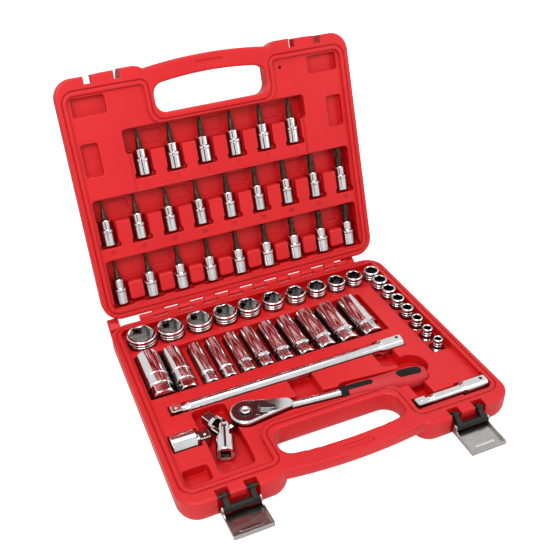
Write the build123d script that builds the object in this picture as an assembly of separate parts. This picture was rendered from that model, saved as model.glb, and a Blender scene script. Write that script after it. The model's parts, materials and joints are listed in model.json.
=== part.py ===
from build123d import *
import math
import os

# Socket wrench set in a hinged carrying case, shown with the lid leaning back on its stop.
# Millimetres. X runs along the hinge, Y from the handle to the hinge, Z up from the underside.
# Each case half is drawn in its own frame: hinge line on y = 0, parting face on z = 0, body below it.

# Case halves
CASE_WIDTH = 328.0
HINGE_TO_FRONT = 261.5
HINGE_TO_BACK_WALL = 3.5
HALF_DEPTH = 32.0
CORNER_RADIUS = 20.0
EDGE_ROUND = 18.0
RIM_ROUND = 2.0
SHOULDER_SWELL = 1.8
SHOULDER_FROM_SIDE = 32.0
SHOULDER_FROM_NOTCH = 31.0
SHOULDER_EASE = 60.0
RIM_GAP = 0.4
LID_OPEN_ANGLE = 109.4

# Carrying handle moulded into the front of both halves
HANDLE_OPENING_HALF = 63.0
HANDLE_OPENING_NEAR = 211.0
HANDLE_OPENING_TALL_END = 29.5
HANDLE_OPENING_TALL_MID = 34.5
HANDLE_OPENING_CORNER = 12.0
HANDLE_BAR_END = 16.0
HANDLE_BAR_MID = 18.5
HANDLE_DEPTH = 14.0
HANDLE_ROUND = 6.0
HANDLE_ROOT = 23.0
LEG_CORNER_RADIUS = 18.6
GRIP_SLOT_LENGTH = 30.0
GRIP_SLOT_WIDTH = 4.5
GRIP_SLOT_DEEP = 1.0

# Rim groove and the sunk panel inside it
GROOVE_FROM_SIDE = 5.9
GROOVE_FROM_BACK = 6.1
GROOVE_FROM_FRONT = 12.9
GROOVE_FROM_NOTCH_SIDE = 4.6
GROOVE_FROM_NOTCH = 6.4
GROOVE_CORNER = 13.0
GROOVE_NOTCH_CORNER = 9.0
GROOVE_NOTCH_ROOT = 12.0
GROOVE_WIDTH = 1.4
GROOVE_DEEP = 1.2
PANEL_INSET = 4.6
BASE_PANEL_DROP = 5.0
LID_PANEL_DROP = 3.5

# Hinge
KNUCKLE_RADIUS = 3.0
KNUCKLE_LENGTH = 14.2
KNUCKLE_PITCH = 15.0
BASE_KNUCKLES = 9
HINGE_PIN_RADIUS = 1.25
HINGE_PIN_CLEARANCE = 0.06
STOP_LUG_FROM_SIDE = 20.0
STOP_LUG_LENGTH = 12.0
STOP_LUG_REACH = 12.0
STOP_LUG_FOOT = 15.0
STOP_CLEARANCE = 0.3

# Draw latches, one at each side of the handle
LATCH_PLACE = 113.2
LATCH_POCKET_WIDTH = 37.4
LATCH_POCKET_FROM_FRONT = 8.9
LATCH_POCKET_DEEP = 22.5
TONGUE_WIDTH = 14.6
TONGUE_FROM_FRONT = 0.2
TONGUE_THICK = 8.0
LATCH_PIN_RADIUS = 1.5
LATCH_PIN_CLEARANCE = 0.06
LATCH_PIN_BURY = 3.0
PIVOT_FROM_FRONT = 3.0
PIVOT_BELOW_RIM = 4.0
LINK_LENGTH = 10.6
LINK_ARM_WIDTH = 4.4
LINK_ARM_INSET = 1.6
LINK_ARM_RADIUS = 3.0
LINK_BARREL_RADIUS = 3.2
LINK_CLOSED_ANGLE = 95.0
LINK_OPEN_ANGLE = 42.0
LEFT_PLATE_DROOP = -9.0
RIGHT_PLATE_DROOP = 2.0
PLATE_WIDTH = 35.8
PLATE_SHEET = 1.2
PLATE_STANDOFF = 5.4
PLATE_TAIL = 4.2
EAR_RADIUS = 3.4
FLANGE_WAIST = 2.6
HOOK_DEEP = 3.0
CATCH_HEIGHT = 13.0
CATCH_FROM_FRONT = 8.0
CATCH_INNER_REACH = 12.7
CATCH_OUTER_REACH = 10.8
LATCH_SIDE_CLEARANCE = 0.5

# Tool seats
SEAT_CLEARANCE = 0.5
TOOL_TOP = 2.4
ROW_FROM_HINGE = 30.5
ROW_TROUGH_BACK = 13.0
ROW_TROUGH_FRONT = 48.5
TROUGH_DROP = 4.0
TROUGH_FROM_LEFT = 14.0
TROUGH_FROM_RIGHT = 11.0
COLUMN_PITCH = 19.4
COLUMN_TROUGH_REACH = 10.6

# Sockets. The square drive is the 3/8 inch standard
DRIVE_SQUARE = 9.5
DRIVE_HOLE = 9.7
DRIVE_HOLE_DEEP = 11.0
DRIVE_END_DIAMETER = 15.6
SOCKET_WALL_SHARE = 1.22
SOCKET_WALL_ADD = 2.2
SOCKET_CHAMFER = 0.8
SOCKET_GROOVE = 0.5
TURNED_LINES = (7.4, 4.6)
SHALLOW_HEX_SHARE = 0.5
# Size, length and the free room left of each socket in the row
ROW_SOCKETS = (
    (24, 30.0, 0.86),
    (22, 30.0, 1.94),
    (21, 28.0, 4.07),
    (20, 28.0, 2.79),
    (19, 28.0, 2.21),
    (18, 28.0, 4.23),
    (17, 26.0, 4.45),
    (16, 26.0, 4.17),
    (15, 26.0, 3.89),
    (14, 26.0, 3.11),
)
ROW_TO_COLUMN = 3.93
COLUMN_TO_TROUGH_END = 0.37
COLUMN_SOCKETS = (13, 12, 11, 10, 9, 8, 7, 6)
COLUMN_SOCKET_LENGTH = 25.0

# Deep and spark plug sockets lie side by side in one trough
DEEP_LENGTH = 63.0
DEEP_HEX_DEEP = 40.0
DEEP_FRONT = 122.4
DEEP_AXIS = 11.2
DEEP_RING_LENGTH = 3.0
DEEP_BAND_INSET = 1.3
DEEP_COLLAR_FROM_DRIVE_END = 15.0
DEEP_COLLAR_LENGTH = 4.0
DEEP_COLLAR_PROUD = 0.3
# Size and the free room left of each lying socket
SPARK_SOCKETS = ((21, 0.09), (16, 0.63))
DEEP_SOCKETS = (
    (10, 6.24),
    (11, 4.09),
    (12, 4.17),
    (13, 2.75),
    (14, 2.83),
    (15, 2.31),
    (17, 2.58),
    (18, 1.55),
    (19, 3.13),
)
DEEP_TO_TROUGH_END = 3.71
DEEP_TROUGH_TO_COLUMN = 21.0
SPARK_LENGTH = 65.0
SPARK_HEX_LENGTH = 13.0
SPARK_HEX_SHARE = 0.88
SPARK_COLLAR_LENGTH = 4.0
SPARK_BAND_LENGTH = 11.0
DEEP_TROUGH_BACK = 56.0
DEEP_TROUGH_FRONT = 124.0
DEEP_TROUGH_DROP = 7.0

# Extension bars
BAR_RADIUS = 5.8
BAR_NECK_RADIUS = 4.6
BAR_NECK_LENGTH = 4.0
BAR_HEAD_RADIUS = 8.3
BAR_HEAD_LENGTH = 24.0
BAR_SHOULDER = 4.0
SQUARE_LENGTH = 10.5
SQUARE_CHAMFER = 1.0
BALL_RADIUS = 1.7
BALL_PROUD = 0.7
LONG_BAR_LENGTH = 250.0
LONG_BAR_FROM_PANEL = 16.5
LONG_BAR_TO_COLUMN = 20.0
LONG_BAR_FROM_HINGE = 145.5
SHORT_BAR_LENGTH = 76.0
SHORT_BAR_FROM_RIGHT = 10.5
SHORT_BAR_FROM_HINGE = 231.0
BAR_AXIS = 7.5
BAR_END_PLAY = 2.0
BAR_SEAT_RADIUS = 7.0

# Step-down adapter
ADAPTER_RADIUS = 10.8
ADAPTER_LENGTH = 23.5
ADAPTER_HOLE = 12.9
ADAPTER_HOLE_DEEP = 15.0
ADAPTER_NECK_RADIUS = 6.4
ADAPTER_NECK_LENGTH = 3.4
ADAPTER_FROM_LEFT = 14.6
ADAPTER_FROM_HINGE = 186.0
ADAPTER_AXIS = 9.5

# Universal joint, lying bent
JOINT_RADIUS = 8.7
JOINT_PIN_TO_SOCKET_END = 28.0
JOINT_PIN_TO_DRIVE_SHOULDER = 16.0
JOINT_NECK_RADIUS = 6.4
JOINT_SLOT = 9.4
JOINT_SLOT_DEEP = 10.2
JOINT_BLOCK = 8.8
JOINT_EAR_WIDTH = 8.4
JOINT_PIN_RADIUS = 2.3
JOINT_CROSS_PIN_RADIUS = 1.4
JOINT_PIN_CLEARANCE = 0.05
JOINT_PIN_INSET = 1.0
JOINT_FROM_LEFT = 65.3
JOINT_FROM_HINGE = 187.5
JOINT_AXIS = 7.6
JOINT_SOCKET_HEADING = 252.0
JOINT_BEND = 41.0
JOINT_WELL = (
    (-22.3, 33.0),
    (11.7, 33.0),
    (13.7, -24.5),
    (12.7, -47.5),
    (-21.3, -47.5),
    (-20.3, -16.5),
)
JOINT_WELL_CORNER = 5.0

# Ratchet, drawn with the gear centre on its own origin and the handle along x
RATCHET_FROM_LEFT = 90.2
RATCHET_FROM_HINGE = 178.5
RATCHET_HEADING = -5.5
RATCHET_AXIS = 9.0
HEAD_RADIUS = 15.0
HEAD_THICK = 17.0
HEAD_ROUND = 2.5
HEAD_NECK_PLACE = 40.0
HEAD_TAPER_START = 26.0
HEAD_NECK_RADIUS = 6.5
SHANK_END_RADIUS = 5.6
SHANK_WAIST_RADIUS = 5.0
TANG_RADIUS = 4.5
TANG_END = 174.0
COVER_THICK = 2.2
COVER_INSET = 1.6
COVER_NECK_RADIUS = 9.6
COVER_FIT = 0.1
GEAR_TEETH = 36
GEAR_TIP_RADIUS = 10.6
TOOTH_HEIGHT = 0.9
GEAR_THICK = 8.0
GEAR_RUNNING_CLEARANCE = 0.3
HUB_RADIUS = 8.0
PAWL_PLACE = 16.2
PAWL_RADIUS = 8.5
PAWL_POCKET_CLEARANCE = 0.4
PAWL_TOOTH_CLEARANCE = 0.2
PAWL_ROCK = 14.0
PAWL_STEPS = 8
LEVER_SHAFT_RADIUS = 2.6
LEVER_TURN = 50.0
LEVER_LENGTH = 11.0
LEVER_HUB_RADIUS = 4.0
LEVER_THICK = 2.6
BUTTON_RADIUS = 4.6
BUTTON_PROUD = 2.4
BUTTON_STEM_RADIUS = 2.2
BUTTON_TRAVEL = 2.0
BUTTON_WELL_RADIUS = 6.2
BUTTON_CLEARANCE = 0.3
SCREW_PLACE_X = 9.2
SCREW_PLACE_Y = 9.2
SCREW_HEAD_RADIUS = 1.7
SCREW_SHANK_RADIUS = 1.0
SCREW_HEAD_THICK = 1.0
SCREW_LENGTH = 6.0
GRIP_START = 95.0
GRIP_SECTIONS = (
    (0.0, 6.6, 6.4),
    (9.0, 8.2, 7.6),
    (30.0, 9.0, 8.4),
    (58.0, 10.6, 9.4),
    (78.0, 10.8, 9.6),
    (89.0, 8.0, 7.4),
)
INLAY_FLOOR = 4.6
SADDLE_LENGTH = 7.0
SADDLE_FLOOR = -3.5
STEM_END = 33.0
STEM_WIDTH = 6.4
OVAL_PLACE = 71.0
OVAL_LENGTH = 26.0
OVAL_WIDTH = 10.0
RATCHET_POCKET_CLEARANCE = 1.2

# Spare pocket and finger scoops
SPARE_POCKET_FROM_LEFT = 25.4
SPARE_POCKET_FROM_HINGE = 228.0
SPARE_POCKET_SIZE = (24.0, 18.5)
SPARE_POCKET_DEEP = 15.0
SCOOP_DEEP = 17.0
SCOOP_CORNER = 4.0
# Scoops are placed from the ratchet's gear centre: left, right, towards the hinge, towards the handle
FINGER_SCOOPS = (
    (53.8, 80.8, 31.5, 3.5),
    (148.8, 171.8, 29.5, -2.5),
    (157.8, 174.8, -13.5, 48.0),
)
ROUND_SCOOP = (176.8, -4.5, 15.5)

# Bit sockets in the lid
BIT_ROW_FROM_SIDE = 24.0
BIT_ROWS = ((6, 151.0, 16.5), (9, 84.5, 10.2), (9, 18.0, 10.2))
BIT_BODY_RADIUS = 7.6
BIT_LIP_RADIUS = 8.2
BIT_LIP_PLACE = 14.5
BIT_LIP_LENGTH = 3.5
BIT_COLLAR_RADIUS = 6.2
BIT_HOLDER_LENGTH = 28.0
BIT_TIP_LENGTH = 21.0
BIT_POINT_LENGTH = 9.0
BIT_ROOT_RADIUS = 3.5
BIT_NECK_STRAIGHT = 2.0
BIT_AXIS = 12.0
BIT_BORE_RADIUS = 3.9
BIT_BORE_DEEP = 10.0
BIT_BURY = 9.6
BIT_SEAT_CLEARANCE = 0.6
BIT_SEAT_FLARE = 0.9
BIT_FOOT_FLARE = 1.6
BIT_FOOT_LENGTH = 4.0
LID_TROUGH_DEEP = 21.0
LID_TROUGH_HEIGHT = 26.0
LID_TROUGH_CORNER = 4.0
LEDGE_STEP_DROP = 1.5
LEDGE_STEP_INSET = 3.0
KNOB_CLEARANCE = 1.0
KNOB_ROUND = 3.0
KNOB_DROP = 2.0
DIMPLE_SIZE = (24.0, 14.0)
DIMPLE_DEEP = 2.2
RECESS_FROM_SIDE = 14.8
LABEL_RECESS = (34.8, 222.4, 241.2)
SIDE_RECESS = (18.2, 160.2, 194.4)
RECESS_DEEP = 7.0
RECESS_CORNER = 2.5
HANG_HOLE = (81.3, 234.6, 1.6)
OUTER_PANEL_INSET = 34.0
OUTER_PANEL_DEEP = 1.5

# Worked-out places
HINGE_Y = (HINGE_TO_FRONT + HINGE_TO_BACK_WALL) / 2
RIM_Z = -RIM_GAP / 2
HALF_WIDTH = CASE_WIDTH / 2
SHOULDER_START = HALF_WIDTH - SHOULDER_FROM_SIDE
SHOULDER_END = HANDLE_OPENING_HALF + SHOULDER_FROM_NOTCH
HANDLE_OPENING_FAR_END = HANDLE_OPENING_NEAR + HANDLE_OPENING_TALL_END
HANDLE_OPENING_FAR_MID = HANDLE_OPENING_NEAR + HANDLE_OPENING_TALL_MID
HANDLE_FRONT_END = HANDLE_OPENING_FAR_END + HANDLE_BAR_END
HANDLE_FRONT_MID = HANDLE_OPENING_FAR_MID + HANDLE_BAR_MID
HANDLE_ROOT_HALF = HANDLE_OPENING_HALF + HANDLE_ROOT
GROOVE_HALF_WIDTH = HALF_WIDTH - GROOVE_FROM_SIDE
GROOVE_BACK = HINGE_TO_BACK_WALL + GROOVE_FROM_BACK
GROOVE_FRONT = HINGE_TO_FRONT - GROOVE_FROM_FRONT
GROOVE_NOTCH_HALF = HANDLE_OPENING_HALF + GROOVE_FROM_NOTCH_SIDE
GROOVE_NOTCH_BACK = HANDLE_OPENING_NEAR - GROOVE_FROM_NOTCH
PANEL_HALF_WIDTH = GROOVE_HALF_WIDTH - PANEL_INSET
STOP_LUG_PLACE = HALF_WIDTH - STOP_LUG_FROM_SIDE
LATCH_POCKET_BACK = HINGE_TO_FRONT - LATCH_POCKET_FROM_FRONT
TONGUE_FRONT = HINGE_TO_FRONT - TONGUE_FROM_FRONT
PIVOT_FROM_HINGE = HINGE_TO_FRONT - PIVOT_FROM_FRONT
CATCH_BACK = HINGE_TO_FRONT - CATCH_FROM_FRONT
CATCH_CHANNEL_INNER = LATCH_PLACE - CATCH_INNER_REACH
CATCH_CHANNEL_OUTER = LATCH_PLACE + CATCH_OUTER_REACH
TROUGH_END_LEFT = HALF_WIDTH - TROUGH_FROM_LEFT
TROUGH_END_RIGHT = HALF_WIDTH - TROUGH_FROM_RIGHT
SHORT_BAR_TIP = HALF_WIDTH - SHORT_BAR_FROM_RIGHT - SHORT_BAR_LENGTH
ADAPTER_END = ADAPTER_FROM_LEFT - HALF_WIDTH
JOINT_X = JOINT_FROM_LEFT - HALF_WIDTH
RATCHET_X = RATCHET_FROM_LEFT - HALF_WIDTH
BIT_PITCH = 2 * (HALF_WIDTH - BIT_ROW_FROM_SIDE) / (max(count for count, _, _ in BIT_ROWS) - 1)
LID_TROUGH_ENDS = [BIT_PITCH * (count - 1) / 2 + past for count, _, past in BIT_ROWS]
LEDGE_STEP_HALF = LID_TROUGH_ENDS[0] - LEDGE_STEP_INSET
KNOB_WIDTH = BIT_PITCH - 2 * (BIT_LIP_RADIUS + KNOB_CLEARANCE)
BASE_PLACE = Pos(0, HINGE_Y, HALF_DEPTH)
LID_PLACE = BASE_PLACE * Rot(-LID_OPEN_ANGLE, 0, 0) * Rot(0, 180, 0)

os.makedirs("parts", exist_ok=True)
LOW = (Align.CENTER, Align.CENTER, Align.MIN)


# Pieces side by side between two ends. Their free room grows and shrinks with what is left between them
def spread(start, end, widths, rooms):
    share = (end - start - sum(widths)) / sum(rooms)
    places = []
    edge = start
    for width, room in zip(widths, rooms):
        edge += room * share
        places.append(edge + width / 2)
        edge += width
    return places


# A rounding is limited by the wall that it sits on
def limited(radius, wall):
    return min(radius, wall)


# Sockets are turned to the size of their nut
def nut_end_diameter(size):
    return SOCKET_WALL_SHARE * size + SOCKET_WALL_ADD


def widest_radius(size):
    return max(nut_end_diameter(size), DRIVE_END_DIAMETER) / 2


ROW_SIZES = [size for size, _, _ in ROW_SOCKETS]
ROW_WIDTHS = [2 * widest_radius(size) for size in ROW_SIZES + [COLUMN_SOCKETS[0]]]
ROW_ROOMS = [room for _, _, room in ROW_SOCKETS] + [ROW_TO_COLUMN, COLUMN_TO_TROUGH_END]
ROW_PLACES = spread(-TROUGH_END_LEFT, TROUGH_END_RIGHT, ROW_WIDTHS, ROW_ROOMS)
COLUMN_PLACE = ROW_PLACES[-1]
COLUMN_TROUGH_INNER = COLUMN_PLACE - COLUMN_TROUGH_REACH
LYING_SOCKETS = SPARK_SOCKETS + DEEP_SOCKETS
LYING_WIDTHS = [2 * widest_radius(size) for size, _ in LYING_SOCKETS] + [0]
LYING_ROOMS = [room for _, room in LYING_SOCKETS] + [DEEP_TO_TROUGH_END, DEEP_TROUGH_TO_COLUMN]
LYING_PLACES = spread(-TROUGH_END_LEFT, COLUMN_TROUGH_INNER, LYING_WIDTHS, LYING_ROOMS)
DEEP_TROUGH_RIGHT = LYING_PLACES[-1]
SPARK_PLACES = LYING_PLACES[: len(SPARK_SOCKETS)]
DEEP_PLACES = LYING_PLACES[len(SPARK_SOCKETS) : -1]
LONG_BAR_ROOMS = (LONG_BAR_FROM_PANEL, LONG_BAR_TO_COLUMN)
LONG_BAR_MIDDLE = spread(-PANEL_HALF_WIDTH, COLUMN_TROUGH_INNER, [LONG_BAR_LENGTH], LONG_BAR_ROOMS)[0]
LONG_BAR_TIP = LONG_BAR_MIDDLE - LONG_BAR_LENGTH / 2


def save(name, shape):
    export_step(shape, "parts/" + name + ".step")


def span_box(x0, x1, y0, y1, z0, z1):
    middle = Pos((x0 + x1) / 2, (y0 + y1) / 2, (z0 + z1) / 2)
    return middle * Box(abs(x1 - x0), abs(y1 - y0), abs(z1 - z0))


def rounded_pit(x0, x1, y0, y1, z0, z1, corner):
    block = span_box(x0, x1, y0, y1, z0, z1)
    return fillet(block.edges().filter_by(Axis.Z), corner)


def post(radius, x, y, z0, z1):
    return Pos(x, y, z0) * Cylinder(radius, z1 - z0, align=LOW)


def bar_along_x(radius, x0, x1, y, z):
    return Pos(x0, y, z) * Rot(0, 90, 0) * Cylinder(radius, x1 - x0, align=LOW)


def bar_along_y(radius, x, y0, y1, z):
    return Pos(x, y0, z) * Rot(-90, 0, 0) * Cylinder(radius, y1 - y0, align=LOW)


def turned(points):
    profile = make_face(Plane.XZ * Polyline(*points, close=True))
    return revolve(profile, axis=Axis.Z)


def square_prism(size, z0, z1, chamfer_end=0.0):
    prism = span_box(-size / 2, size / 2, -size / 2, size / 2, z0, z1)
    prism = chamfer(prism.edges().filter_by(Axis.Z), 0.6)
    if chamfer_end:
        prism = chamfer(prism.faces().sort_by(Axis.Z)[-1].edges(), chamfer_end)
    return prism


def hex_prism(across_flats, z0, z1):
    face = RegularPolygon(across_flats / 2, 6, major_radius=False)
    return Pos(0, 0, z0) * extrude(face, z1 - z0)


def notched_outline(half, back, front, notch_half, notch_back, corner, notch_corner, notch_root):
    points = (
        (-half, -back),
        (half, -back),
        (half, -front),
        (notch_half, -front),
        (notch_half, -notch_back),
        (-notch_half, -notch_back),
        (-notch_half, -front),
        (-half, -front),
    )
    root = limited(notch_root, front - notch_back - notch_corner - RIM_GAP)
    radii = (corner, corner, corner, notch_corner, root, root, notch_corner, corner)
    return make_face(FilletPolyline(*points, radius=list(radii), close=True))


# Outer outline. The front edge swells a little beside the handle
def leg_corner_radius():
    notch_deep = HINGE_TO_FRONT + SHOULDER_SWELL - HANDLE_OPENING_NEAR
    return limited(LEG_CORNER_RADIUS, notch_deep - HANDLE_OPENING_CORNER - RIM_ROUND)


def case_outline():
    half = HALF_WIDTH
    back = HINGE_TO_BACK_WALL
    front = HINGE_TO_FRONT
    swollen = HINGE_TO_FRONT + SHOULDER_SWELL
    notch = HANDLE_OPENING_HALF
    leg_corner = leg_corner_radius()
    right = (
        (half, -back, CORNER_RADIUS),
        (half, -front, CORNER_RADIUS),
        (SHOULDER_START, -front, SHOULDER_EASE),
        (SHOULDER_END, -swollen, SHOULDER_EASE),
        (notch, -swollen, leg_corner),
        (notch, -HANDLE_OPENING_NEAR, HANDLE_OPENING_CORNER),
    )
    left = [(-x, y, radius) for x, y, radius in reversed(right)]
    corners = list(right) + left
    points = [(x, y) for x, y, _ in corners]
    radii = [radius for _, _, radius in corners]
    return make_face(FilletPolyline(*points, radius=radii, close=True))


def groove_outline(inset):
    return notched_outline(
        GROOVE_HALF_WIDTH - inset,
        GROOVE_BACK + inset,
        GROOVE_FRONT - inset,
        GROOVE_NOTCH_HALF + inset,
        GROOVE_NOTCH_BACK - inset,
        GROOVE_CORNER - inset,
        GROOVE_NOTCH_CORNER - inset,
        GROOVE_NOTCH_ROOT + inset,
    )


def handle_opening():
    near_left = (-HANDLE_OPENING_HALF, -HANDLE_OPENING_NEAR)
    near_right = (HANDLE_OPENING_HALF, -HANDLE_OPENING_NEAR)
    far_right = (HANDLE_OPENING_HALF, -HANDLE_OPENING_FAR_END)
    far_left = (-HANDLE_OPENING_HALF, -HANDLE_OPENING_FAR_END)
    sides = Polyline(far_left, near_left, near_right, far_right)
    far_edge = ThreePointArc(far_right, (0, -HANDLE_OPENING_FAR_MID), far_left)
    face = make_face([sides, far_edge])
    return fillet(face.vertices(), HANDLE_OPENING_CORNER)


def handle_bar():
    root = HANDLE_OPENING_NEAR - HANDLE_OPENING_CORNER
    left = (-HANDLE_ROOT_HALF, -HANDLE_FRONT_END)
    right = (HANDLE_ROOT_HALF, -HANDLE_FRONT_END)
    sides = Polyline(left, (-HANDLE_ROOT_HALF, -root), (HANDLE_ROOT_HALF, -root), right)
    front = ThreePointArc(right, (0, -HANDLE_FRONT_MID), left)
    face = make_face([sides, front]) - handle_opening()
    bar = Pos(0, 0, -HANDLE_DEPTH) * extrude(face, HANDLE_DEPTH + RIM_Z)
    for side, radius in ((0, HANDLE_ROUND), (-1, RIM_ROUND)):
        flat = bar.faces().sort_by(Axis.Z)[side]
        hole_edges = flat.inner_wires()[0].edges()
        front_edge = flat.outer_wire().edges().sort_by(Axis.Y)[0]
        bar = fillet(hole_edges + [front_edge], radius)
    return bar


# One case half before its seats are cut: rounded tray body, handle bar, rim groove and panel
def case_half(panel_drop):
    body = Pos(0, 0, -HALF_DEPTH) * extrude(case_outline(), HALF_DEPTH + RIM_Z)
    edge_round = limited(EDGE_ROUND, leg_corner_radius() - RIM_GAP)
    body = fillet(body.faces().sort_by(Axis.Z)[0].edges(), edge_round)
    body = fillet(body.faces().sort_by(Axis.Z)[-1].edges(), RIM_ROUND)
    body += handle_bar()
    ring = groove_outline(-GROOVE_WIDTH / 2) - groove_outline(GROOVE_WIDTH / 2)
    body -= Pos(0, 0, RIM_Z - GROOVE_DEEP) * extrude(ring, GROOVE_DEEP * 2)
    body -= Pos(0, 0, -panel_drop) * extrude(groove_outline(PANEL_INSET), panel_drop * 2)
    return body


def knuckles(count):
    first = -KNUCKLE_PITCH * (count - 1)
    row = []
    for number in range(count):
        x = first + 2 * KNUCKLE_PITCH * number
        x0 = x - KNUCKLE_LENGTH / 2
        x1 = x + KNUCKLE_LENGTH / 2
        barrel = bar_along_x(KNUCKLE_RADIUS, x0, x1, 0, 0)
        web = span_box(x0, x1, -HINGE_TO_BACK_WALL - 1.0, 0, -KNUCKLE_RADIUS, RIM_Z)
        row.append(barrel + web)
    return row


def hinge_pin():
    reach = KNUCKLE_PITCH * (BASE_KNUCKLES - 1) + KNUCKLE_LENGTH / 2
    return bar_along_x(HINGE_PIN_RADIUS, -reach, reach, 0, 0)


def hinge_bore():
    reach = KNUCKLE_PITCH * BASE_KNUCKLES
    return bar_along_x(HINGE_PIN_RADIUS + HINGE_PIN_CLEARANCE, -reach, reach, 0, 0)


# The lugs meet the lid's back wall when the lid is open
def stop_lug(x):
    angle = math.radians(LID_OPEN_ANGLE)
    wall_y = -HINGE_TO_BACK_WALL * math.cos(angle)
    wall_z = HINGE_TO_BACK_WALL * math.sin(angle) - STOP_CLEARANCE / math.sin(angle)
    slope = math.cos(angle) / math.sin(angle)
    near = STOP_LUG_REACH / 2
    near_z = wall_z + slope * (near - wall_y)
    far_z = wall_z + slope * (STOP_LUG_REACH - wall_y)
    side = Polyline(
        (-HINGE_TO_BACK_WALL - 1.0, -STOP_LUG_FOOT),
        (-HINGE_TO_BACK_WALL - 1.0, -KNUCKLE_RADIUS),
        (near, near_z),
        (STOP_LUG_REACH, far_z),
        (STOP_LUG_REACH, far_z - KNUCKLE_RADIUS),
        close=True,
    )
    lug = extrude(make_face(Plane.YZ * side), STOP_LUG_LENGTH)
    return Pos(x - STOP_LUG_LENGTH / 2, 0, 0) * lug


# Seats for the latches in the base: a pocket with the tongue left standing, bored for the pivot pin
def base_latch_cut(x):
    half = LATCH_POCKET_WIDTH / 2
    pocket = span_box(x - half, x + half, -LATCH_POCKET_BACK, -300, -LATCH_POCKET_DEEP, 1)
    tongue_half = TONGUE_WIDTH / 2
    tongue = span_box(x - tongue_half, x + tongue_half, -200, -TONGUE_FRONT, -TONGUE_THICK, 2)
    reach = half + LATCH_PIN_BURY
    bore_radius = LATCH_PIN_RADIUS + LATCH_PIN_CLEARANCE
    bore = bar_along_x(bore_radius, x - reach, x + reach, -PIVOT_FROM_HINGE, -PIVOT_BELOW_RIM)
    return (pocket - tongue) + bore


def lid_latch_cut(side):
    inner = LATCH_PLACE - LATCH_POCKET_WIDTH / 2
    outer = LATCH_PLACE + LATCH_POCKET_WIDTH / 2
    cuts = []
    for x0, x1 in ((inner, CATCH_CHANNEL_INNER), (CATCH_CHANNEL_OUTER, outer)):
        cuts.append(span_box(side * x0, side * x1, -CATCH_BACK, -300, -HALF_DEPTH - 1, 1))
    over = span_box(side * inner, side * outer, -CATCH_BACK, -300, -HALF_DEPTH - 1, -CATCH_HEIGHT)
    shut_plate = link_end(0)[1] - PLATE_STANDOFF
    front = span_box(side * inner, side * outer, shut_plate + LATCH_SIDE_CLEARANCE, -300, -HALF_DEPTH - 1, 1)
    return cuts[0] + cuts[1] + over + front


# Latch pieces are drawn shut, against the closed case, and then swung to the open rest pose
def link_end(x):
    angle = math.radians(-LINK_CLOSED_ANGLE)
    y = -PIVOT_FROM_HINGE - LINK_LENGTH * math.cos(angle)
    z = -PIVOT_BELOW_RIM + LINK_LENGTH * math.sin(angle)
    return x, y, z


def swing_link(shape):
    pivot = Axis((0, -PIVOT_FROM_HINGE, -PIVOT_BELOW_RIM), (1, 0, 0))
    return shape.rotate(pivot, LINK_OPEN_ANGLE - LINK_CLOSED_ANGLE)


def swing_plate(shape, x):
    own_pivot = Axis(link_end(x), (1, 0, 0))
    droop = LEFT_PLATE_DROOP if x < 0 else RIGHT_PLATE_DROOP
    turn = LINK_CLOSED_ANGLE - LINK_OPEN_ANGLE + 90 + droop
    return swing_link(shape.rotate(own_pivot, turn))


def latch_link(x):
    _, end_y, end_z = link_end(x)
    pivot_y = -PIVOT_FROM_HINGE
    pivot_z = -PIVOT_BELOW_RIM
    reach = PLATE_WIDTH / 2 - PLATE_SHEET - LATCH_SIDE_CLEARANCE
    solid = bar_along_x(LINK_BARREL_RADIUS, x - reach, x + reach, end_y, end_z)
    for side in (-1, 1):
        outer = x + side * (reach - LINK_ARM_INSET)
        inner = outer - side * LINK_ARM_WIDTH
        low = min(outer, inner)
        high = max(outer, inner)
        eye = bar_along_x(LINK_ARM_RADIUS, low, high, pivot_y, pivot_z)
        lean = math.radians(90 - LINK_CLOSED_ANGLE)
        middle = Pos((low + high) / 2, (pivot_y + end_y) / 2, (pivot_z + end_z) / 2)
        arm = middle * Rot(math.degrees(lean), 0, 0) * Box(high - low, 2 * LINK_ARM_RADIUS, LINK_LENGTH)
        solid += eye + arm
    bore = LATCH_PIN_RADIUS + LATCH_PIN_CLEARANCE
    solid -= bar_along_x(bore, x - 40, x + 40, pivot_y, pivot_z)
    solid -= bar_along_x(bore, x - 40, x + 40, end_y, end_z)
    return swing_link(solid)


def latch_plate(x):
    _, end_y, end_z = link_end(x)
    face_y = end_y - PLATE_STANDOFF
    half = PLATE_WIDTH / 2
    bottom = end_z - PLATE_TAIL
    top = CATCH_HEIGHT + STOP_CLEARANCE + PLATE_SHEET
    sheet = span_box(x - half, x + half, face_y - PLATE_SHEET, face_y, bottom, top)
    hook_reach = face_y + HOOK_DEEP
    lip = span_box(x - half, x + half, face_y - PLATE_SHEET, hook_reach, top - PLATE_SHEET, top)
    sheet += lip
    for side in (-1, 1):
        edge = x + side * half
        root = edge - side * PLATE_SHEET
        outline = Polyline(
            (face_y, bottom),
            (end_y - EAR_RADIUS / 2, bottom),
            (end_y - EAR_RADIUS / 2, end_z + EAR_RADIUS),
            (face_y + FLANGE_WAIST, end_z + 2 * EAR_RADIUS),
            (face_y + FLANGE_WAIST, top - 3 * HOOK_DEEP),
            (hook_reach, top - 2 * HOOK_DEEP),
            (hook_reach, top),
            (face_y, top),
            close=True,
        )
        flange = Pos(min(edge, root), 0, 0) * extrude(make_face(Plane.YZ * outline), PLATE_SHEET)
        ear = bar_along_x(EAR_RADIUS, min(edge, root), max(edge, root), end_y, end_z)
        sheet += flange + ear
    bore = LATCH_PIN_RADIUS + LATCH_PIN_CLEARANCE
    sheet -= bar_along_x(bore, x - 40, x + 40, end_y, end_z)
    return swing_plate(sheet, x)


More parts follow.
